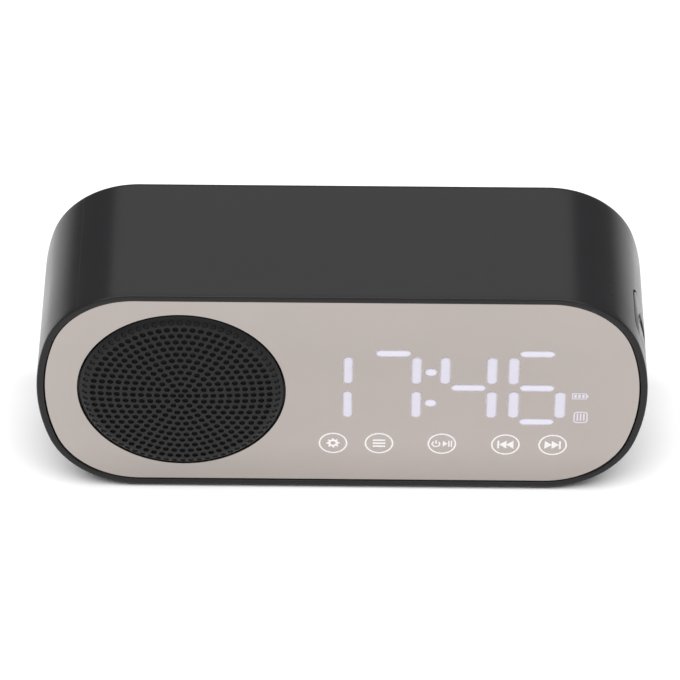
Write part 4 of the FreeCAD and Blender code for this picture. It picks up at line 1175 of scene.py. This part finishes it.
# Node, finish, slot, width of the rounded edge and its segments
rounded_nodes = (
    ("port_panel", housing_plastic, "housing_plastic", 0.15, 2),
    ("charging_socket", dark_steel, "plated_steel", 0.06, 2),
    ("card_socket", dark_steel, "plated_steel", 0.06, 2),
    ("audio_jack", black_plastic, "component_black", 0.15, 2),
    ("rubber_feet", rubber, "soft_rubber", 0.35, 3),
)
for node_name, finish, slot_name, width, segments in rounded_nodes:
    rounded = bevelled_copy(node_name, width, segments)
    make_piece(node_name + "_rounded", rounded, finish, node_name)


def screw_mesh():
    """One pan-head screw along Y about the origin, its seat at the origin, head to the back."""
    profile = [(0.0, HEAD_HEIGHT)]
    for step in range(HEAD_STEPS + 1):
        angle = math.radians(90.0 * step / HEAD_STEPS)
        radius = HEAD_RADIUS - HEAD_ROUND + HEAD_ROUND * math.sin(angle)
        profile.append((radius, HEAD_HEIGHT - HEAD_ROUND + HEAD_ROUND * math.cos(angle)))
    profile += [(HEAD_RADIUS, 0.0), (SHANK_RADIUS, 0.0)]
    turns = int(SHANK_LENGTH / THREAD_PITCH) - 1
    for turn in range(turns):
        depth = -THREAD_PITCH * (turn + 0.5)
        profile += [(SHANK_ROOT, depth), (SHANK_RADIUS, depth - THREAD_PITCH / 2)]
    profile += [(SHANK_ROOT / 2, -SHANK_LENGTH), (0.0, -SHANK_LENGTH)]

    def add_level(outline, depth):
        """Adds a loop of vertices at one depth about the origin."""
        return [shape.verts.new(Vector((x, depth, z)) * MM) for x, z in outline]

    shape = bmesh.new()
    rings = [(circle_points(0.0, 0.0, radius, SCREW_SIDES), depth) for radius, depth in profile]
    stack(shape, [add_level(ring, depth) for ring, depth in rings])
    bmesh.ops.remove_doubles(shape, verts=shape.verts, dist=MERGE_GAP * MM)
    body = mesh_of(shape, "screw_body")
    shape = bmesh.new()
    loops = []
    floor, mouth = HEAD_HEIGHT - RECESS_DEPTH, HEAD_HEIGHT + OVERLAP / 2
    for depth, share in ((floor, RECESS_FLOOR), (mouth, RECESS_MOUTH)):
        near, far = RECESS_WIDTH / 2 * share, RECESS_LENGTH / 2 * share
        arm = ((far, -near), (far, near), (near, near))
        turns = ((1, 0, 0, 1), (0, -1, 1, 0), (-1, 0, 0, -1), (0, 1, -1, 0))
        outline = [(a * x + b * z, c * x + d * z) for a, b, c, d in turns for x, z in arm]
        loops.append(add_level(outline, depth))
    stack(shape, loops)
    return boolean(body, "DIFFERENCE", [[mesh_of(shape, "cross_recess")]])


def rear_screws():
    """The four rear screws, each turned a little differently, as a fitter leaves them."""
    tree = NodeTree("rear_screws", {"Turn": SCREW_TURN, "Finish": plated_steel})
    pattern = bpy.data.objects.new("screw_pattern", screw_mesh())
    bpy.context.scene.collection.objects.link(pattern)
    screw = add_node(tree.tree, "GeometryNodeObjectInfo", {"Object": pattern})
    index = tree.add("GeometryNodeInputIndex")
    turn = tree.add("ShaderNodeCombineXYZ", {"Y": tree.sum("MULTIPLY", index, tree.given("Turn"))})
    tree.finish(tree.copies(tree.given("Geometry"), screw.outputs["Geometry"], turn))
    seat = BODY_DEPTH - WELL_DEPTH
    mesh = tree.run(point_mesh([(x, seat, z) for x, z in POST_PLACES]))
    bpy.data.objects.remove(pattern)
    return mesh


make_piece("rear_screws_crossed", rear_screws(), plated_steel, "rear_screws")


# Camera, lights and floor


def add_camera():
    """The photograph's camera: its turn from the three angles, and its place from the fit."""
    cos_pitch, sin_pitch = math.cos(CAMERA_PITCH), math.sin(CAMERA_PITCH)
    cos_yaw, sin_yaw = math.cos(CAMERA_YAW), math.sin(CAMERA_YAW)
    forwards = Vector((sin_yaw * cos_pitch, cos_yaw * cos_pitch, -sin_pitch))
    level = Vector((cos_yaw, -sin_yaw, 0.0))
    above = level.cross(forwards)
    right = math.cos(CAMERA_ROLL) * level + math.sin(CAMERA_ROLL) * above
    up = math.cos(CAMERA_ROLL) * above - math.sin(CAMERA_ROLL) * level
    offset = right * (FACE_MIDDLE_RIGHT / FOCAL_PIXELS) - up * (FACE_MIDDLE_DOWN / FOCAL_PIXELS)
    eye = -CAMERA_DISTANCE * (offset + forwards)
    camera = bpy.data.objects.new("camera", bpy.data.cameras.new("camera"))
    camera.data.sensor_width = SENSOR_WIDTH
    camera.data.lens = SENSOR_WIDTH * FOCAL_PIXELS / PHOTO_PIXELS
    camera.data.clip_end = CAMERA_SIGHT
    turn = Matrix((right, up, -forwards)).transposed().to_4x4()
    camera.matrix_world = Matrix.Translation(at(*eye)) @ turn
    bpy.context.scene.collection.objects.link(camera)
    bpy.context.scene.camera = camera


def add_area_light(name, place, size, power):
    """A soft rectangular light that points at the clock."""
    light = bpy.data.lights.new(name, "AREA")
    light.shape = "RECTANGLE"
    light.size, light.size_y = size
    light.energy = power
    lamp = bpy.data.objects.new(name, light)
    aim = (Vector(AIM) - Vector(place)).to_track_quat("-Z", "Y")
    lamp.matrix_world = Matrix.Translation(place) @ aim.to_matrix().to_4x4()
    bpy.context.scene.collection.objects.link(lamp)


def add_floor():
    """A plain pale sheet of card under the clock, with painted shade that darkens it further out
    as if the light fell off.
    """
    shape = bmesh.new()
    bmesh.ops.create_grid(shape, x_segments=2, y_segments=2, size=FLOOR_REACH)
    mesh = bpy.data.meshes.new("floor")
    shape.to_mesh(mesh)
    shape.free()
    material, tree, shader = new_material("floor_card_painted_falloff")
    add_grain(
        tree, shader, grain_size=400.0, patch_size=2.0, depth=0.01, smooth=0.85, rough=0.95
    )
    place = add_node(tree, "ShaderNodeTexCoord").outputs["Object"]
    away = add_node(tree, "ShaderNodeVectorMath", {0: place}, operation="LENGTH").outputs["Value"]
    # Painted light: the card is lighter near the clock and darker further out, standing in for the
    # falloff of the softboxes' light
    painted_light_share = add_range(tree, away, FLOOR_PAINTED_FALLOFF, (1.0, 0.0), "LINEAR")
    add_tones(tree, painted_light_share, FLOOR_FAR_PAINTED_SHADE, FLOOR_NEAR_PAINTED_LIGHT, shader.inputs["Base Color"])
    mesh.materials.append(material)
    floor = bpy.data.objects.new("floor", mesh)
    bpy.context.scene.collection.objects.link(floor)


def add_studio():
    """Even light all round, a large softbox overhead and one behind."""
    world = bpy.data.worlds.new("studio")
    bpy.context.scene.world = world
    world.use_nodes = True
    background = world.node_tree.nodes["Background"]
    background.inputs["Color"].default_value = (1.0, 1.0, 1.0, 1.0)
    background.inputs["Strength"].default_value = ROOM_LIGHT
    for softbox in SOFTBOXES:
        add_area_light(*softbox)
    bpy.context.scene.view_settings.view_transform = "Standard"


add_camera()
add_floor()
add_studio()
